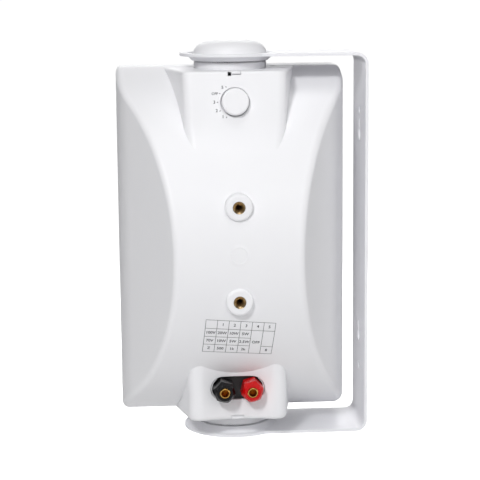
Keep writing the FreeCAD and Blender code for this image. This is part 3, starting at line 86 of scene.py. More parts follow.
def add_node(tree, kind, inputs, **settings):
    """Add a node with its settings. An input given as a socket is linked, any other is set."""
    made = tree.nodes.new(kind)
    for name, value in settings.items():
        setattr(made, name, value)
    for name, value in inputs.items():
        if isinstance(value, bpy.types.NodeSocket):
            tree.links.new(value, made.inputs[name])
        else:
            made.inputs[name].default_value = value
    return made


def begin_material(name, sockets):
    """A new material with its shader's even values set, its tree and shader, and the piece's coordinates."""
    made = bpy.data.materials.new(name)
    made.use_nodes = True
    shader = made.node_tree.nodes["Principled BSDF"]
    for socket, value in sockets.items():
        shader.inputs[socket].default_value = value
    place = add_node(made.node_tree, "ShaderNodeTexCoord", {}).outputs["Object"]
    return made, made.node_tree, shader, place


def grains(tree, place, size_mm, **inputs):
    """Soft cloudy grains of a real size, as a height or share from 0 to 1."""
    sockets = {"Vector": place, "Scale": 1 / (size_mm * MM), **inputs}
    return add_node(tree, "ShaderNodeTexNoise", sockets).outputs[0]


def vary_colour(tree, shader, share, dark, light):
    """Let the colour run between two hex values."""
    factor, first, second, result = 0, 6, 7, 2
    blend = add_node(tree, "ShaderNodeMix", {factor: share, first: linear(dark), second: linear(light)},
                     data_type="RGBA")
    tree.links.new(blend.outputs[result], shader.inputs["Base Color"])


def vary_roughness(tree, shader, share, low, high):
    """Let the roughness run between two values."""
    spread = add_node(tree, "ShaderNodeMapRange", {"Value": share, "To Min": low, "To Max": high})
    tree.links.new(spread.outputs[0], shader.inputs["Roughness"])


def raise_surface(tree, shader, height, depth_mm, edge_mm=0.0):
    """Turn a height into relief of a real depth, with the piece's edges softened to a real radius."""
    bump = add_node(tree, "ShaderNodeBump", {"Height": height, "Distance": depth_mm * MM})
    if edge_mm:
        soft_edge = add_node(tree, "ShaderNodeBevel", {"Radius": edge_mm * MM}, samples=4)
        tree.links.new(soft_edge.outputs[0], bump.inputs["Normal"])
    tree.links.new(bump.outputs[0], shader.inputs["Normal"])


def dress(finish, *names):
    """Give CAD nodes a finish."""
    for name in names:
        data = frame["nodes"][name].data
        data.materials.clear()
        data.materials.append(finish)


# Polyester powder coat, baked: a satin white skin with shallow orange peel about 2 mm across.
powder_coat, tree, shader, place = begin_material("powder_coat", {"Roughness": 0.42, "IOR": 1.5})
vary_colour(tree, shader, grains(tree, place, size_mm=30.0), "EDEDF1", "F3F3F6")
vary_roughness(tree, shader, grains(tree, place, size_mm=6.0), low=0.38, high=0.48)
raise_surface(tree, shader, grains(tree, place, size_mm=2.0), depth_mm=0.03, edge_mm=0.4)
dress(powder_coat, "wall_bracket")

# Pivot cap, collars and cabinet mouldings: injection-moulded white ABS. The cap snaps over the
# upper bolt, the toothed collars turn in the bracket's eyes, and the shell carries all the rest.
# The mould is spark-eroded, which gives a fine even grain.


def white_abs(name, edge_mm):
    """White ABS, its edges softened. The grain of about 0.2 mm is drawn at 0.7 mm so that it shows."""
    finish, tree, shader, place = begin_material(name, {"Roughness": 0.45, "IOR": 1.53})
    vary_colour(tree, shader, grains(tree, place, size_mm=60.0), "EFEFF2", "F4F4F6")
    vary_roughness(tree, shader, grains(tree, place, size_mm=5.0), low=0.40, high=0.50)
    raise_surface(tree, shader, grains(tree, place, size_mm=0.7), depth_mm=0.012, edge_mm=edge_mm)
    return finish


moulded_abs = white_abs("moulded_abs", edge_mm=0.5)
dress(moulded_abs, "upper_collar", "lower_collar", "rear_shell", "front_baffle", "selector_knob")
sharp_edge = math.radians(35)


def piece_from(mesh, name, finish, body, smooth=False):
    """Close a mesh into a piece with a finish that rides on a body, or on none if no body is given."""
    bmesh.ops.recalc_face_normals(mesh, faces=mesh.faces[:])
    data = bpy.data.meshes.new(name)
    mesh.to_mesh(data)
    mesh.free()
    if smooth:
        data.shade_smooth()
        data.set_sharp_from_angle(angle=sharp_edge)
    data.materials.append(finish)
    made = bpy.data.objects.new(name, data)
    bpy.context.scene.collection.objects.link(made)
    if body:
        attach(made, body)
    return made


def skin(mesh, rings, runs_round=False):
    """Faces from each ring of vertices to the next, and over both ends unless the rings run round."""
    following = rings[1:] + rings[:1] if runs_round else rings[1:]
    for first, second in zip(rings, following):
        for step in range(len(first)):
            mesh.faces.new((first[step - 1], first[step], second[step], second[step - 1]))
    if not runs_round:
        mesh.faces.new(rings[0])
        mesh.faces.new(rings[-1])


def turned(profile, centre, axis, sides=48, thread_pitch=1.0 * MM):
    """A closed mesh turned about an axis from rings of radius, place along the axis and thread depth."""
    along_axis = Vector(axis)
    across = along_axis.orthogonal().normalized()
    beside = along_axis.cross(across)
    mesh = bmesh.new()
    rings = []
    for radius, along, depth in profile:
        ring = []
        for step in range(sides):
            share = step / sides
            crest = abs((along / thread_pitch - share) % 1 * 2 - 1)
            way = across * math.cos(2 * math.pi * share) + beside * math.sin(2 * math.pi * share)
            ring.append(mesh.verts.new(centre + along_axis * along + way * (radius + depth * crest)))
        rings.append(ring)
    skin(mesh, rings)
    return mesh


# The cap's dome: a short upright skirt, a wide elliptical shoulder and a nearly flat crown.
cap_low, cap_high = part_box("pivot_cap")
cap_radius = (cap_high.x - cap_low.x) / 2
cap_height = cap_high.z - cap_low.z
cap_wall = 1.6 * MM
cap_skirt = 2.4 * MM
cap_crown = 12.8 * MM
cap_crown_rise = 0.2 * MM
tip_radius = 0.5 * MM
dome_steps = 12
dome_sides = 96


def dome(inset):
    """The dome's profile from its crown down to its rim, set in from its outer face."""
    reach = cap_radius - cap_crown - inset
    rise = cap_height - cap_skirt - cap_crown_rise - inset
    rings = [(tip_radius, cap_height - inset, 0)]
    for step in range(dome_steps + 1):
        turn = math.pi / 2 * step / dome_steps
        rings.append((cap_crown + reach * math.sin(turn), cap_skirt + rise * math.cos(turn), 0))
    return rings + [(cap_radius - inset, 0, 0)]


cap_base = Vector(((cap_low.x + cap_high.x) / 2, (cap_low.y + cap_high.y) / 2, cap_low.z))
cap_profile = dome(cap_wall) + dome(0)[::-1]
domed_cap = piece_from(turned(cap_profile, cap_base, (0, 0, 1), dome_sides), "domed_pivot_cap",
                       moulded_abs, "bracket", smooth=True)
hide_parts("pivot_cap")

# Latch tab: the white tongue of the collar's catch, filling most of the key slot in the upper block's
# top edge. It leaves the catch's square window open on its left and a narrow gap under it.
axis_x = cap_base.x
block_top = 122.8 * MM
block_back = -43.5 * MM
tab_left, tab_right = -1.9 * MM, 4.1 * MM
tab_low, tab_top = 1.9 * MM, 0.4 * MM
tab_front, tab_root = 0.05 * MM, 1.9 * MM
tab_round = 0.25 * MM
mesh = bmesh.new()
bmesh.ops.create_cube(mesh, size=1)
for vertex in mesh.verts:
    vertex.co = Vector((axis_x + (tab_right if vertex.co.x > 0 else tab_left),
                        block_back + (tab_root if vertex.co.y > 0 else tab_front),
                        block_top - (tab_top if vertex.co.z > 0 else tab_low)))
bmesh.ops.bevel(mesh, geom=mesh.edges[:], offset=tab_round, segments=2, profile=0.5, affect="EDGES")
piece_from(mesh, "latch_tab", moulded_abs, "cabinet", smooth=True)

# Pivot bolts, washers, nuts and screws: cold-headed steel, zinc plated and blue passivated.
# The plating is a grey metal with a faint bluish cloud and an uneven gloss.
zinc_plate, tree, shader, place = begin_material("zinc_plate", {"Metallic": 1.0})
vary_colour(tree, shader, grains(tree, place, size_mm=4.0), "A9ABA8", "C3C6C9")
vary_roughness(tree, shader, grains(tree, place, size_mm=1.5), low=0.25, high=0.42)
dress(zinc_plate, "upper_washer", "upper_pivot_bolt", "upper_pivot_nut", "lower_washer", "lower_pivot_bolt",
      "lower_pivot_nut", "baffle_screws", "switch_nut", "switch_shaft", "woofer_screws", "tweeter_screws",
      "transformer_feet", "transformer_screws", "board_screws", "woofer_top_plate", "woofer_yoke")

# Threaded inserts: turned brass, pressed into bosses behind the round pads on the cabinet's back.
# Free-cutting brass, dulled in store: warm yellow-brown, with patches that are still bright.
turned_brass, tree, shader, place = begin_material("turned_brass", {"Metallic": 1.0})
vary_colour(tree, shader, grains(tree, place, size_mm=1.5), "8C7757", "C6AE88")
vary_roughness(tree, shader, grains(tree, place, size_mm=0.8), low=0.24, high=0.40)
dress(turned_brass, "post_nuts")
insert_pitch = 1.0 * MM
insert_bore = 2.15 * MM
insert_thread = 0.4 * MM
thread_start = 2.2 * MM
drill_point = 1.3 * MM
throat_radius, throat_depth = insert_bore + 0.35 * MM, 1.7 * MM
mouth_land, mouth_edge, edge_drop = 0.2 * MM, 0.1 * MM, 0.05 * MM
waist_depth = 0.6 * MM
collar_length, collar_slope = 5.0 * MM, 0.6 * MM
waist_from = collar_length + collar_slope
rings_per_turn = 6


def threaded(radius, depth, start, stop, pitch):
    """Rings of a thread from start to stop, its ends run out."""
    count = max(2, round(abs(stop - start) / pitch * rings_per_turn))
    rings = [(radius, start + (stop - start) * step / count, depth) for step in range(count + 1)]
    return [(radius, start, 0)] + rings[1:-1] + [(radius, stop, 0)]


for name in ("upper_insert", "lower_insert"):
    low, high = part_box(name)
    length = high.y - low.y
    outer = (high.x - low.x) / 2
    waist = outer - waist_depth
    mouth = Vector(((low.x + high.x) / 2, low.y, (low.z + high.z) / 2))
    profile = [(tip_radius, length - drill_point, 0)]
    profile += threaded(insert_bore, insert_thread, length - 2 * drill_point, thread_start, insert_pitch)
    profile += [(throat_radius, throat_depth, 0), (outer - mouth_land, edge_drop, 0),
                (outer - mouth_edge, 0, 0), (outer, mouth_edge, 0), (outer, collar_length, 0),
                (waist, waist_from, 0), (waist, length - waist_from, 0), (outer, length - collar_length, 0),
                (outer, length, 0)]
    made = piece_from(turned(profile, mouth, (0, 1, 0), thread_pitch=insert_pitch), f"threaded_{name}",
                      turned_brass, "cabinet", smooth=True)
    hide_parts(name)

# Binding posts: turned brass tubes, flash gilt, on a black moulded plate in the lower block.
# Gilt brass is a deeper and cleaner yellow than bare brass and stays bright.
gilt_brass, tree, shader, place = begin_material("gilt_brass", {"Metallic": 1.0})
vary_colour(tree, shader, grains(tree, place, size_mm=2.0), "D09A48", "ECC070")
vary_roughness(tree, shader, grains(tree, place, size_mm=1.0), low=0.16, high=0.28)
dress(gilt_brass, "black_cap_sleeve", "red_cap_sleeve")
post_pitch = 1.0 * MM
post_radius = 3.4 * MM
post_thread, thread_relief = 0.3 * MM, 0.32 * MM
thread_from, thread_run_out = 1.0 * MM, 0.3 * MM
post_bore, post_bore_depth = 2.0 * MM, 14.0 * MM
post_mouth, mouth_depth = 2.65 * MM, 3.0 * MM
flare_radius, flare_depth = post_mouth - 0.15 * MM, 0.9 * MM
lip_round, tip_chamfer, tip_clearance = 0.1 * MM, 0.25 * MM, 0.02 * MM
shank_radius = 2.5 * MM
flange_from, flange_to = 15.8 * MM, 17.3 * MM
for name in ("black_post", "red_post"):
    low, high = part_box(name)
    flange_radius = (high.x - low.x) / 2
    tip = Vector(((low.x + high.x) / 2, low.y, (low.z + high.z) / 2))
    profile = [(post_bore, post_bore_depth, 0), (post_bore, mouth_depth, 0), (flare_radius, flare_depth, 0),
               (post_mouth, lip_round, 0), (post_mouth + lip_round, 0, 0), (post_radius - tip_chamfer, 0, 0),
               (post_radius - tip_clearance, tip_chamfer, 0)]
    profile += threaded(post_radius - thread_relief, post_thread, thread_from, flange_from - thread_run_out,
                        post_pitch)
    profile += [(post_radius, flange_from, 0), (flange_radius, flange_from, 0),
                (flange_radius, flange_to, 0), (shank_radius, flange_to, 0),
                (shank_radius, high.y - low.y, 0)]
    made = piece_from(turned(profile, tip, (0, 1, 0), thread_pitch=post_pitch), f"threaded_{name}",
                      gilt_brass, "cabinet", smooth=True)
    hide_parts(name)

# Terminal plate, switch body and tweeter faceplate: moulded in black ABS, dull and finely grained.
# The plate fills the recess from behind the lower block's wall, and nuts hold the posts in it.
black_abs, tree, shader, place = begin_material("black_abs", {"Roughness": 0.45, "IOR": 1.53})
vary_colour(tree, shader, grains(tree, place, size_mm=8.0), "1B1A1B", "242324")
raise_surface(tree, shader, grains(tree, place, size_mm=0.6), depth_mm=0.01)
dress(black_abs, "terminal_plate", "switch_body", "tweeter_faceplate")

# Terminal lips: a thin white crescent at each end of the recess, flush with the scooped face. A dark
# hairline shows round its outside, and its inside stays clear of the caps' corners as they turn.
recess_half = 10.5 * MM
recess_radius = 8.25 * MM
scoop_radius = 60.0 * MM
scoop_back = -44.83 * MM
plate_low, plate_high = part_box("terminal_plate")
plate_height = (plate_low.z + plate_high.z) / 2
hairline = 0.4 * MM
cap_sweep = 8.2 * MM
post_half = 9.525 * MM
lip_drop = 0.1 * MM
lip_span = math.radians(62)
lip_least = 0.06 * MM
lip_steps = 16
outside = recess_radius - hairline
for end, side in (("left", -1), ("right", 1)):
    mesh = bmesh.new()
    stations = []
    for step in range(lip_steps + 1):
        turn = lip_span * (2 * step / lip_steps - 1)
        inside = min(outside - lip_least, cap_sweep - (recess_half - post_half) * math.cos(turn))
        station = []
        for reach, at_mouth in ((outside, True), (inside, True), (inside, False), (outside, False)):
            x = recess_half + math.cos(turn) * reach
            scooped = scoop_radius - math.sqrt(scoop_radius ** 2 - x ** 2)
            y = scoop_back - scooped + lip_drop if at_mouth else plate_low.y
            station.append(mesh.verts.new((axis_x + side * x, y, plate_height + math.sin(turn) * reach)))
        stations.append(station)
    skin(mesh, stations)
    piece_from(mesh, f"{end}_terminal_lip", moulded_abs, "cabinet", smooth=True)

# Post caps: polycarbonate, moulded smooth in black and in red, so their edges catch the light. Each is
# fixed on a brass sleeve that turns on its post's thread.
for colour, dark, light in (("black", "060607", "0C0C0E"), ("red", "BE0508", "D2090C")):
    smooth_cap, tree, shader, place = begin_material(f"{colour}_polycarbonate", {
        "Roughness": 0.25, "IOR": 1.58, "Specular IOR Level": 0.22})
    vary_colour(tree, shader, grains(tree, place, size_mm=5.0), dark, light)
    vary_roughness(tree, shader, grains(tree, place, size_mm=1.2), low=0.20, high=0.32)
    raise_surface(tree, shader, grains(tree, place, size_mm=3.0), depth_mm=0.01, edge_mm=0.4)
    dress(smooth_cap, f"{colour}_cap")

# Gaskets: black butyl, dull, with a light bloom. The baffle's is a thin foam ring on the shell's front
# edge, and the woofer's is a ring that finishes its rim.
butyl, tree, shader, place = begin_material("butyl_rubber", {"Roughness": 0.6, "IOR": 1.52})
vary_colour(tree, shader, grains(tree, place, size_mm=3.0), "191919", "242425")
raise_surface(tree, shader, grains(tree, place, size_mm=0.5), depth_mm=0.01)
dress(butyl, "baffle_gasket", "woofer_gasket")

# The woofer's roll: one ring of butyl, its outer lip glued to the basket and its inner lip to the cone.
# It is made in short sectors, each one arched across from the cone to the basket.
cone_low, cone_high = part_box("woofer_cone")
roll_low, roll_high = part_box("woofer_surround")
roll_middle = (roll_low + roll_high) / 2
cone_gap = 0.3 * MM
lip_inner, lip_outer = 40.5 * MM, (roll_high.z - roll_low.z) / 2
roll_inner, roll_outer = (cone_high.z - cone_low.z) / 2 + cone_gap, 52.0 * MM
roll_wall = 0.8 * MM
roll_steps = 10
sector_count = 16
sector_steps = 6


def half_roll(inner, outer, rise, base):
    """Radius and height of points over an arched roll, from its inner to its outer foot."""
    turns = [math.pi * step / roll_steps for step in range(roll_steps + 1)]
    return [((inner + outer) / 2 - (outer - inner) / 2 * math.cos(turn), base + rise * math.sin(turn))
            for turn in turns]


roll_top = roll_low.y + roll_wall
roll_rise = roll_high.y - roll_top
under_roll = half_roll(roll_inner, roll_outer, roll_rise, roll_low.y)
over_roll = half_roll(roll_inner - roll_wall / 2, roll_outer + roll_wall / 2, roll_rise, roll_top)
under_side = [(lip_inner, roll_low.y), *under_roll, (lip_outer, roll_low.y)]
upper_side = [(lip_inner, roll_top), *over_roll, (lip_outer, roll_top)]
section = under_side + upper_side[::-1]
for sector in range(sector_count):
    mesh = bmesh.new()
    stations = []
    for step in range(sector_steps + 1):
        turn = 2 * math.pi * (sector + step / sector_steps) / sector_count
        stations.append([mesh.verts.new((roll_middle.x + radius * math.cos(turn), height,
                                         roll_middle.z + radius * math.sin(turn)))
                         for radius, height in section])
    skin(mesh, stations)
    roll_sector = piece_from(mesh, f"surround_sector_{sector + 1:02d}", butyl, None,
                             smooth=True)
    turn = 2 * math.pi * (sector + 0.5) / sector_count
    way = Vector((math.cos(turn), 0, math.sin(turn)))
    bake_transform(roll_sector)
    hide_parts("woofer_surround")

# Woofer basket: one pressing of sheet steel, dipped in black paint. Four screws through its flange
# hold it to the baffle.
dip_paint, tree, shader, place = begin_material("black_dip_paint", {"Roughness": 0.35, "IOR": 1.5})
vary_colour(tree, shader, grains(tree, place, size_mm=10.0), "151516", "1E1E20")
raise_surface(tree, shader, grains(tree, place, size_mm=1.5), depth_mm=0.02)
dress(dip_paint, "woofer_basket")

# Magnets: sintered ferrite, ground flat and grey-black. The woofer's ring is glued between its top
# plate and its yoke.
ferrite, tree, shader, place = begin_material("sintered_ferrite", {"Roughness": 0.55, "IOR": 2.2})
vary_colour(tree, shader, grains(tree, place, size_mm=0.8), "26262A", "34343A")
dress(ferrite, "woofer_magnet", "tweeter_motor")

# Woofer cone and dust cap: pressed paper pulp with short fibres in it. The cap is glued over the
# middle of the cone, and both travel with the coil.
pulp, tree, shader, place = begin_material("pressed_pulp", {"Roughness": 0.85, "IOR": 1.45})
fibres = grains(tree, place, size_mm=1.2, Detail=6.0, Roughness=0.7)
vary_colour(tree, shader, fibres, "171717", "2A2A2B")
raise_surface(tree, shader, fibres, depth_mm=0.05)
dress(pulp, "woofer_cone", "dust_cap")

# Spider and tweeter dome: cotton and silk cloth stiffened with resin. The threads are 0.5 mm apart and
# are drawn some six times coarser, so that they show.


def stripes(tree, place, radian_mm, direction):
    """Soft stripes across one of the piece's axes, as a height. One radian of the wave is a real length."""
    radians_per_unit = 20
    scale = 1 / (radian_mm * MM) / radians_per_unit
    return add_node(tree, "ShaderNodeTexWave", {"Vector": place, "Scale": scale},
                    bands_direction=direction).outputs[1]


resin_cloth, tree, shader, place = begin_material("resin_dipped_cloth", {"Roughness": 0.7, "IOR": 1.5})
threads = [stripes(tree, place, radian_mm=0.5, direction=axis) for axis in ("X", "Z")]
weave = add_node(tree, "ShaderNodeMath", dict(enumerate(threads)), operation="MULTIPLY").outputs[0]
vary_colour(tree, shader, weave, "7A5E22", "A8873C")
raise_surface(tree, shader, weave, depth_mm=0.05)
dress(resin_cloth, "woofer_spider", "tweeter_diaphragm")

# Windings: enamelled copper wire laid turn on turn. The wire is 0.6 mm thick and is drawn some six
# times coarser, so that the turns show.
enamelled_copper, tree, shader, place = begin_material("enamelled_copper", {
    "Metallic": 1.0, "Roughness": 0.3})
turns = stripes(tree, place, radian_mm=0.6, direction="Z")
vary_colour(tree, shader, turns, "7C3414", "C26A36")
raise_surface(tree, shader, turns, depth_mm=0.2)
dress(enamelled_copper, "voice_coil", "transformer_winding", "crossover_coil")

# Transformer core: a stack of electrical steel stampings, bare at their edges. They are 0.5 mm thick
# and are drawn some six times coarser, so that they show.
stampings, tree, shader, place = begin_material("steel_stampings", {"Metallic": 1.0, "Roughness": 0.5})
sheets = stripes(tree, place, radian_mm=0.5, direction="Y")
vary_colour(tree, shader, sheets, "3A3B3E", "6A6B6E")
raise_surface(tree, shader, sheets, depth_mm=0.05)
dress(stampings, "transformer_core")

# Crossover board: glass-fibre board under green solder mask, with its parts soldered on. Screws hold
# it to four posts inside the cabinet.
solder_mask, tree, shader, place = begin_material("green_solder_mask", {"Roughness": 0.3, "IOR": 1.5})
vary_colour(tree, shader, grains(tree, place, size_mm=6.0), "0E3A20", "1B5A32")
dress(solder_mask, "crossover_board")

# Film capacitors: yellow polyester tape wrapped over the winding and sealed with resin at the ends.
# They lie on the crossover board.
polyester_tape, tree, shader, place = begin_material("yellow_polyester_tape", {
    "Roughness": 0.25, "IOR": 1.6})
vary_colour(tree, shader, grains(tree, place, size_mm=5.0), "C08A10", "D8A628")
dress(polyester_tape, "crossover_capacitors")

# Power resistor: wire in a ceramic box filled with white cement. Like the capacitors, it lies on the
# crossover board.
white_cement, tree, shader, place = begin_material("white_cement", {"Roughness": 0.9, "IOR": 1.5})
chalk = grains(tree, place, size_mm=0.6, Detail=4.0)
vary_colour(tree, shader, chalk, "C9C6BE", "DEDBD3")
raise_surface(tree, shader, chalk, depth_mm=0.05)
dress(white_cement, "crossover_resistor")

# Front grille: steel sheet, perforated, drawn into a shallow pan and bowed across its width, with
# the same white powder coat. The holes are 2.6 mm across and 4 mm apart, in staggered rows.
grille_low, grille_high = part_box("front_grille")
sheet_thickness = 1.0 * MM
bow = 6.0 * MM
pan_corner = 3.0 * MM
hole_radius = 1.3 * MM
hole_sides = 10
hole_pitch = 4.0 * MM
half_width = (grille_high.x - grille_low.x) / 2
half_height = (grille_high.z - grille_low.z) / 2
middle = (grille_low + grille_high) / 2
row_pitch = hole_pitch * math.sqrt(3) / 2
edge_front = grille_high.y - bow
bow_radius = (half_width ** 2 + bow ** 2) / 2 / bow


def bowed(across, up):
    """A point of the grille's outer face, from its offsets to the middle."""
    rise = math.sqrt(bow_radius ** 2 - across ** 2) - (bow_radius - bow)
    return Vector((middle.x + across, edge_front + rise, middle.z + up))


mesh = bmesh.new()
plain_margins = 3 * pan_corner
hole_columns = int((2 * half_width - plain_margins) / hole_pitch)
hole_rows = int((2 * half_height - plain_margins) / row_pitch)
field_half = hole_columns * hole_pitch / 2
field_top = hole_rows * row_pitch / 2
spots = {}


def spot(across, up):
    """The grille's vertex at a place of the flat sheet, made once."""
    key = (round(across / MM, 3), round(up / MM, 3))
    if key not in spots:
        spots[key] = mesh.verts.new(bowed(across, up))
    return spots[key]


def pierced_cell(left, low):
    """One cell of the sheet round a hole, with the middle points that the rows beside it share."""
    right = left + hole_pitch
    top = low + row_pitch
    half_way = left + hole_pitch / 2
    rim = [(left, low), (half_way, low), (right, low), (right, top), (half_way, top), (left, top)]
    centre = (half_way, low + row_pitch / 2)
    ring = []
    for step in range(hole_sides):
        turn = 2 * math.pi * step / hole_sides
        ring.append((centre[0] + hole_radius * math.cos(turn), centre[1] + hole_radius * math.sin(turn)))

    def bearing(point):
        """A point's direction from the hole's centre, from 0 to a full turn."""
        return math.atan2(point[1] - centre[1], point[0] - centre[0]) % (2 * math.pi)

    rim.sort(key=bearing)
    outer = 0
    inner = 0
    while outer < len(rim) or inner < len(ring):
        next_outer = bearing(rim[outer + 1]) if outer + 1 < len(rim) else bearing(rim[0]) + 2 * math.pi
        next_inner = 2 * math.pi * (inner + 1) / hole_sides
        on_rim = spot(*rim[outer % len(rim)])
        on_ring = spot(*ring[inner % len(ring)])
        if inner >= len(ring) or (outer < len(rim) and next_outer < next_inner):
            mesh.faces.new((on_rim, spot(*rim[(outer + 1) % len(rim)]), on_ring))
            outer += 1
        else:
            mesh.faces.new((on_rim, spot(*ring[(inner + 1) % len(ring)]), on_ring))
            inner += 1


for row in range(hole_rows):
    low = -field_top + row * row_pitch
    shift = hole_pitch / 2 if row % 2 else 0
    for column in range(hole_columns - row % 2):
        pierced_cell(-field_half + shift + column * hole_pitch, low)
    if row % 2:
        for left in (-field_half, field_half - hole_pitch / 2):
            right = left + hole_pitch / 2
            top = low + row_pitch
            mesh.faces.new([spot(left, low), spot(right, low), spot(right, top), spot(left, top)])

# The plain margin round the holes and the pan's turned-back side.
turn_steps = 4
outline = []
for corner_index, (side_x, side_z) in enumerate(((1, 1), (-1, 1), (-1, -1), (1, -1))):
    for step in range(turn_steps + 1):
        turn = math.pi / 2 * (corner_index + step / turn_steps)
        outline.append((side_x * (half_width - pan_corner) + pan_corner * math.cos(turn),
                        side_z * (half_height - pan_corner) + pan_corner * math.sin(turn)))
slack = MM / 10


def bounds_field(edge):
    """Whether an open edge lies along the outside of the field of holes and not round one hole."""
    return (min(abs(vertex.co.x - middle.x) for vertex in edge.verts) > field_half - slack
            or min(abs(vertex.co.z - middle.z) for vertex in edge.verts) > field_top - slack)


field_edges = [edge for edge in mesh.edges if edge.is_boundary and bounds_field(edge)]
rim_verts = [mesh.verts.new(bowed(*point)) for point in outline]
rim_edges = [mesh.edges.new((rim_verts[index - 1], rim_verts[index])) for index in range(len(rim_verts))]
bmesh.ops.bridge_loops(mesh, edges=field_edges + rim_edges)
turned_back = bmesh.ops.extrude_edge_only(mesh, edges=rim_edges)["geom"]
for element in turned_back:
    if isinstance(element, bmesh.types.BMVert):
        element.co.y = grille_low.y
perforated_grille = piece_from(mesh, "perforated_grille", powder_coat, "cabinet")
thickness = perforated_grille.modifiers.new("sheet", "SOLIDIFY")
thickness.thickness = sheet_thickness
thickness.offset = -1
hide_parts("front_grille")

# Print on the back: a table of tap settings and the selector's scale, pad printed in grey ink that
# lies a few hundredths of a millimetre proud of the plastic.
ink, tree, shader, place = begin_material("grey_ink", {"Roughness": 0.6, "IOR": 1.5})
vary_colour(tree, shader, grains(tree, place, size_mm=0.8), "36373B", "56575C")
ink_film = 0.06 * MM
stroke_gain = 0.018
barrel_radius = 129.0 * MM
barrel_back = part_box("rear_shell")[0].y


def on_barrel(point):
    """A flat point of the print, as its offset across and its length along the back's curve."""
    turn = point.y / barrel_radius
    reach = barrel_radius + ink_film
    return Vector((axis_x + point.x, barrel_back + barrel_radius - reach * math.cos(turn),
                   reach * math.sin(turn)))


def letter(words, size, x, y):
    """Flat faces of a short text centred on a place, as a list of corner lists."""
    data = bpy.data.curves.new("words", "FONT")
    data.body = words
    data.size = size
    data.align_x = "CENTER"
    data.align_y = "CENTER"
    data.resolution_u = 3
    data.offset = size * stroke_gain
    made = bpy.data.objects.new("words", data)
    bpy.context.scene.collection.objects.link(made)
    flat = bpy.data.meshes.new_from_object(made)
    place = Vector((x, y, 0))
    faces = [[place + flat.vertices[index].co for index in face.vertices] for face in flat.polygons]
    bpy.data.objects.remove(made)
    return faces


def rule(start, stop, width, step=2.0 * MM):
    """Flat faces of a printed line, cut short enough to follow a curve."""
    start = Vector((*start, 0))
    stop = Vector((*stop, 0))
    across = (stop - start).cross(Vector((0, 0, 1))).normalized() * width / 2
    count = max(1, int((stop - start).length / step))
    cuts = [start.lerp(stop, index / count) for index in range(count + 1)]
    return [[first + across, first - across, second - across, second + across]
            for first, second in zip(cuts, cuts[1:])]


def printed(name, faces, spread):
    """A thin film of ink on the cabinet, each flat face laid on the surface by spread."""
    mesh = bmesh.new()
    for corners in faces:
        mesh.faces.new([mesh.verts.new(spread(corner)) for corner in corners])
    bmesh.ops.remove_doubles(mesh, verts=mesh.verts[:], dist=ink_film / 10)
    piece_from(mesh, name, ink, "cabinet")


# The table: six columns and four rows, set a little askew on the back. The fifth column's cells under
# the heading are one cell, and so are the two in the middle of the last column.
table_width = 47.2 * MM
table_height = 26.8 * MM
table_middle = Vector((0.0, -57.2 * MM, 0))
table_askew = math.radians(-5.0)
table_letter = 3.1 * MM
line_width = 0.28 * MM
table_columns, off_column, last_column = 6, 4, 5
cells = [["", "1", "2", "3", "4", "5"], ["100V", "20W", "10W", "5W", "", ""],
         ["70V", "10W", "5W", "2.5W", "OFF", ""], ["Z", "500", "1k", "2k", "", "8"]]
cell_width = table_width / table_columns
cell_height = table_height / len(cells)
last_row = len(cells) - 1
table_faces = []


def corner_of(column, row):
    """The flat place where a column and a row of the table begin."""
    return (-table_width / 2 + column * cell_width, table_height / 2 - row * cell_height)


for row in range(len(cells) + 1):
    stop = table_columns if row in (0, 1, len(cells)) else off_column
    table_faces += rule(corner_of(0, row), corner_of(stop, row), line_width)
table_faces += rule(corner_of(last_column, last_row), corner_of(table_columns, last_row), line_width)
for column in range(table_columns + 1):
    table_faces += rule(corner_of(column, 0), corner_of(column, len(cells)), line_width)
for row, words in enumerate(cells):
    for column, word in enumerate(words):
        if word:
            x, y = corner_of(column + 0.5, row + 0.5)
            table_faces += letter(word, table_letter, x, y)
askew = Matrix.Translation(table_middle) @ Matrix.Rotation(table_askew, 4, "Z")
printed("tap_table_print", table_faces, lambda point: on_barrel(askew @ point))

# The selector's scale: five marks at steps of 30 degrees on the left of the knob, each with its word.
# It is printed round the knob's axis on the upper block's tipped face.
knob_tilt = math.radians(9.0)
face_out = Vector((0, -math.cos(knob_tilt), math.sin(knob_tilt)))
face_up = Vector((0, math.sin(knob_tilt), math.cos(knob_tilt)))
turn_joint = next(joint for joint in frame["joints"] if joint["name"] == "selector_turn")
knob_centre = Vector(turn_joint["pos_m"])
mark_radius = 11.3 * MM
mark_length, mark_width = 0.9 * MM, 0.45 * MM
figure_size, figure_shift = 2.9 * MM, 2.6 * MM
word_size, word_shift = 2.4 * MM, 3.7 * MM
scale_faces = []
for word, degrees in (("5", 120), ("OFF", 150), ("3", 180), ("2", 210), ("1", 240)):
    way = Vector((math.cos(math.radians(degrees)), math.sin(math.radians(degrees))))
    scale_faces += rule(way * mark_radius, way * (mark_radius + mark_length), mark_width)
    size, shift = (word_size, word_shift) if len(word) > 1 else (figure_size, figure_shift)
    scale_faces += letter(word, size, way.x * mark_radius - shift, way.y * mark_radius)


def on_block(point):
    """A flat point of the scale, on the upper block's tipped back face."""
    return knob_centre + Vector((point.x, 0, 0)) + face_up * point.y + face_out * ink_film


printed("selector_scale_print", scale_faces, on_block)

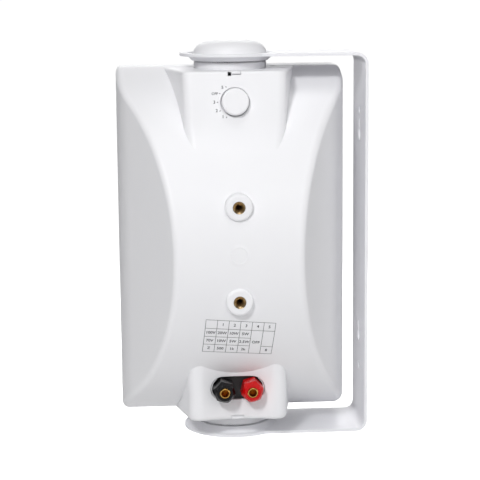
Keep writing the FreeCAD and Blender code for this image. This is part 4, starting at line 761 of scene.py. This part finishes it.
# Gate ring: the faint round rim in the middle of the back where the plastic entered the mould. It
# rises a fifth of a millimetre in a long slope and drops off steeply on its inside.
gate_height = 2.9 * MM
gate_foot, gate_crest, gate_edge, gate_inner = 7.6 * MM, 5.7 * MM, 5.55 * MM, 5.1 * MM
gate_rise, gate_sink = 0.2 * MM, 0.02 * MM
gate_steps = 64
mesh = bmesh.new()
stations = []
for step in range(gate_steps):
    turn = 2 * math.pi * step / gate_steps
    station = []
    for radius, rise in ((gate_foot, -gate_sink), (gate_crest, gate_rise),
                         (gate_edge, gate_rise), (gate_inner, -gate_sink)):
        spread = on_barrel(Vector((radius * math.cos(turn), gate_height + radius * math.sin(turn), 0)))
        out = Vector((0, spread.y - barrel_back - barrel_radius, spread.z)).normalized()
        station.append(mesh.verts.new(spread + out * (rise - ink_film)))
    stations.append(station)
skin(mesh, stations, runs_round=True)
piece_from(mesh, "gate_ring", white_abs("sheared_abs", edge_mm=0.0), "cabinet")

# Stage: a plain pale floor well below the part and a surround, both bright for the camera alone. The
# light comes from a small key high on the left behind the camera, and from soft boxes all round.
floor_drop = 0.28
floor_half = 400.0
mesh = bmesh.new()
bmesh.ops.create_grid(mesh, x_segments=1, y_segments=1, size=floor_half)
data = bpy.data.meshes.new("floor")
mesh.to_mesh(data)
mesh.free()
floor = bpy.data.objects.new("floor", data)
floor.location.z = cad_box[0].z - floor_drop
bpy.context.scene.collection.objects.link(floor)
paper, tree, shader, place = begin_material("white_paper", {
    "Roughness": 0.9, "Base Color": linear("F4F4F4"), "Emission Color": linear("FFFFFF")})
seen = add_node(tree, "ShaderNodeLightPath", {}).outputs["Is Camera Ray"]
tree.links.new(seen, shader.inputs["Emission Strength"])
data.materials.append(paper)

surround_light, surround_seen = 0.05, 1.2
world = bpy.data.worlds.new("surround")
bpy.context.scene.world = world
world.use_nodes = True
tree = world.node_tree
sky = tree.nodes["Background"]
sky.inputs["Color"].default_value = linear("FBFBFF")
seen = add_node(tree, "ShaderNodeLightPath", {}).outputs["Is Camera Ray"]
level = add_node(tree, "ShaderNodeMapRange", {
    "Value": seen, "To Min": surround_light, "To Max": surround_seen})
tree.links.new(level.outputs[0], sky.inputs["Strength"])

# Each lamp has degrees round from the cabinet's back and above the floor, a width in metres and watts.
aim_at = Vector((axis_x, 0, 0))
lamp_distance = 2.0
for name, azimuth, elevation, width, power in (
        ("key", -22, 33, 0.25, 16.5),
        ("left soft box", -20, 22, 1.2, 2.5),
        ("right soft box", 25, 22, 1.2, 7.5),
        ("top", 0, 68, 1.0, 10.0),
        ("right fill", 88, 10, 1.0, 7.0),
        ("left fill", -88, 10, 1.0, 2.5),
        ("front fill", 180, 18, 1.4, 13.0),
        ("front top fill", 180, 40, 1.2, 4.0)):
    around = math.radians(azimuth)
    above = math.radians(elevation)
    way = Vector((math.cos(above) * math.sin(around), -math.cos(above) * math.cos(around), math.sin(above)))
    lamp = bpy.data.lights.new(name, "AREA")
    lamp.size = width
    lamp.energy = power
    holder = bpy.data.objects.new(name, lamp)
    holder.location = aim_at + way * lamp_distance
    holder.rotation_euler = (-way).to_track_quat("-Z", "Y").to_euler()
    bpy.context.scene.collection.objects.link(holder)

# Camera: the photograph's place and lens, just left of the cabinet's axis and a little above it.
camera_place = (-0.1682, -1.0974, 0.1841)
yaw, pitch_down, roll = (math.radians(angle) for angle in (4.23, 9.45, -0.51))
camera_data = bpy.data.cameras.new("camera")
camera_data.lens = 117.94
camera_data.sensor_width = 36.0
camera = bpy.data.objects.new("camera", camera_data)
camera.matrix_world = (Matrix.Translation(camera_place) @ Matrix.Rotation(-yaw, 4, "Z")
                       @ Matrix.Rotation(math.pi / 2 - pitch_down, 4, "X") @ Matrix.Rotation(roll, 4, "Z"))
bpy.context.scene.collection.objects.link(camera)
bpy.context.scene.camera = camera
bpy.context.scene.view_settings.view_transform = "Standard"
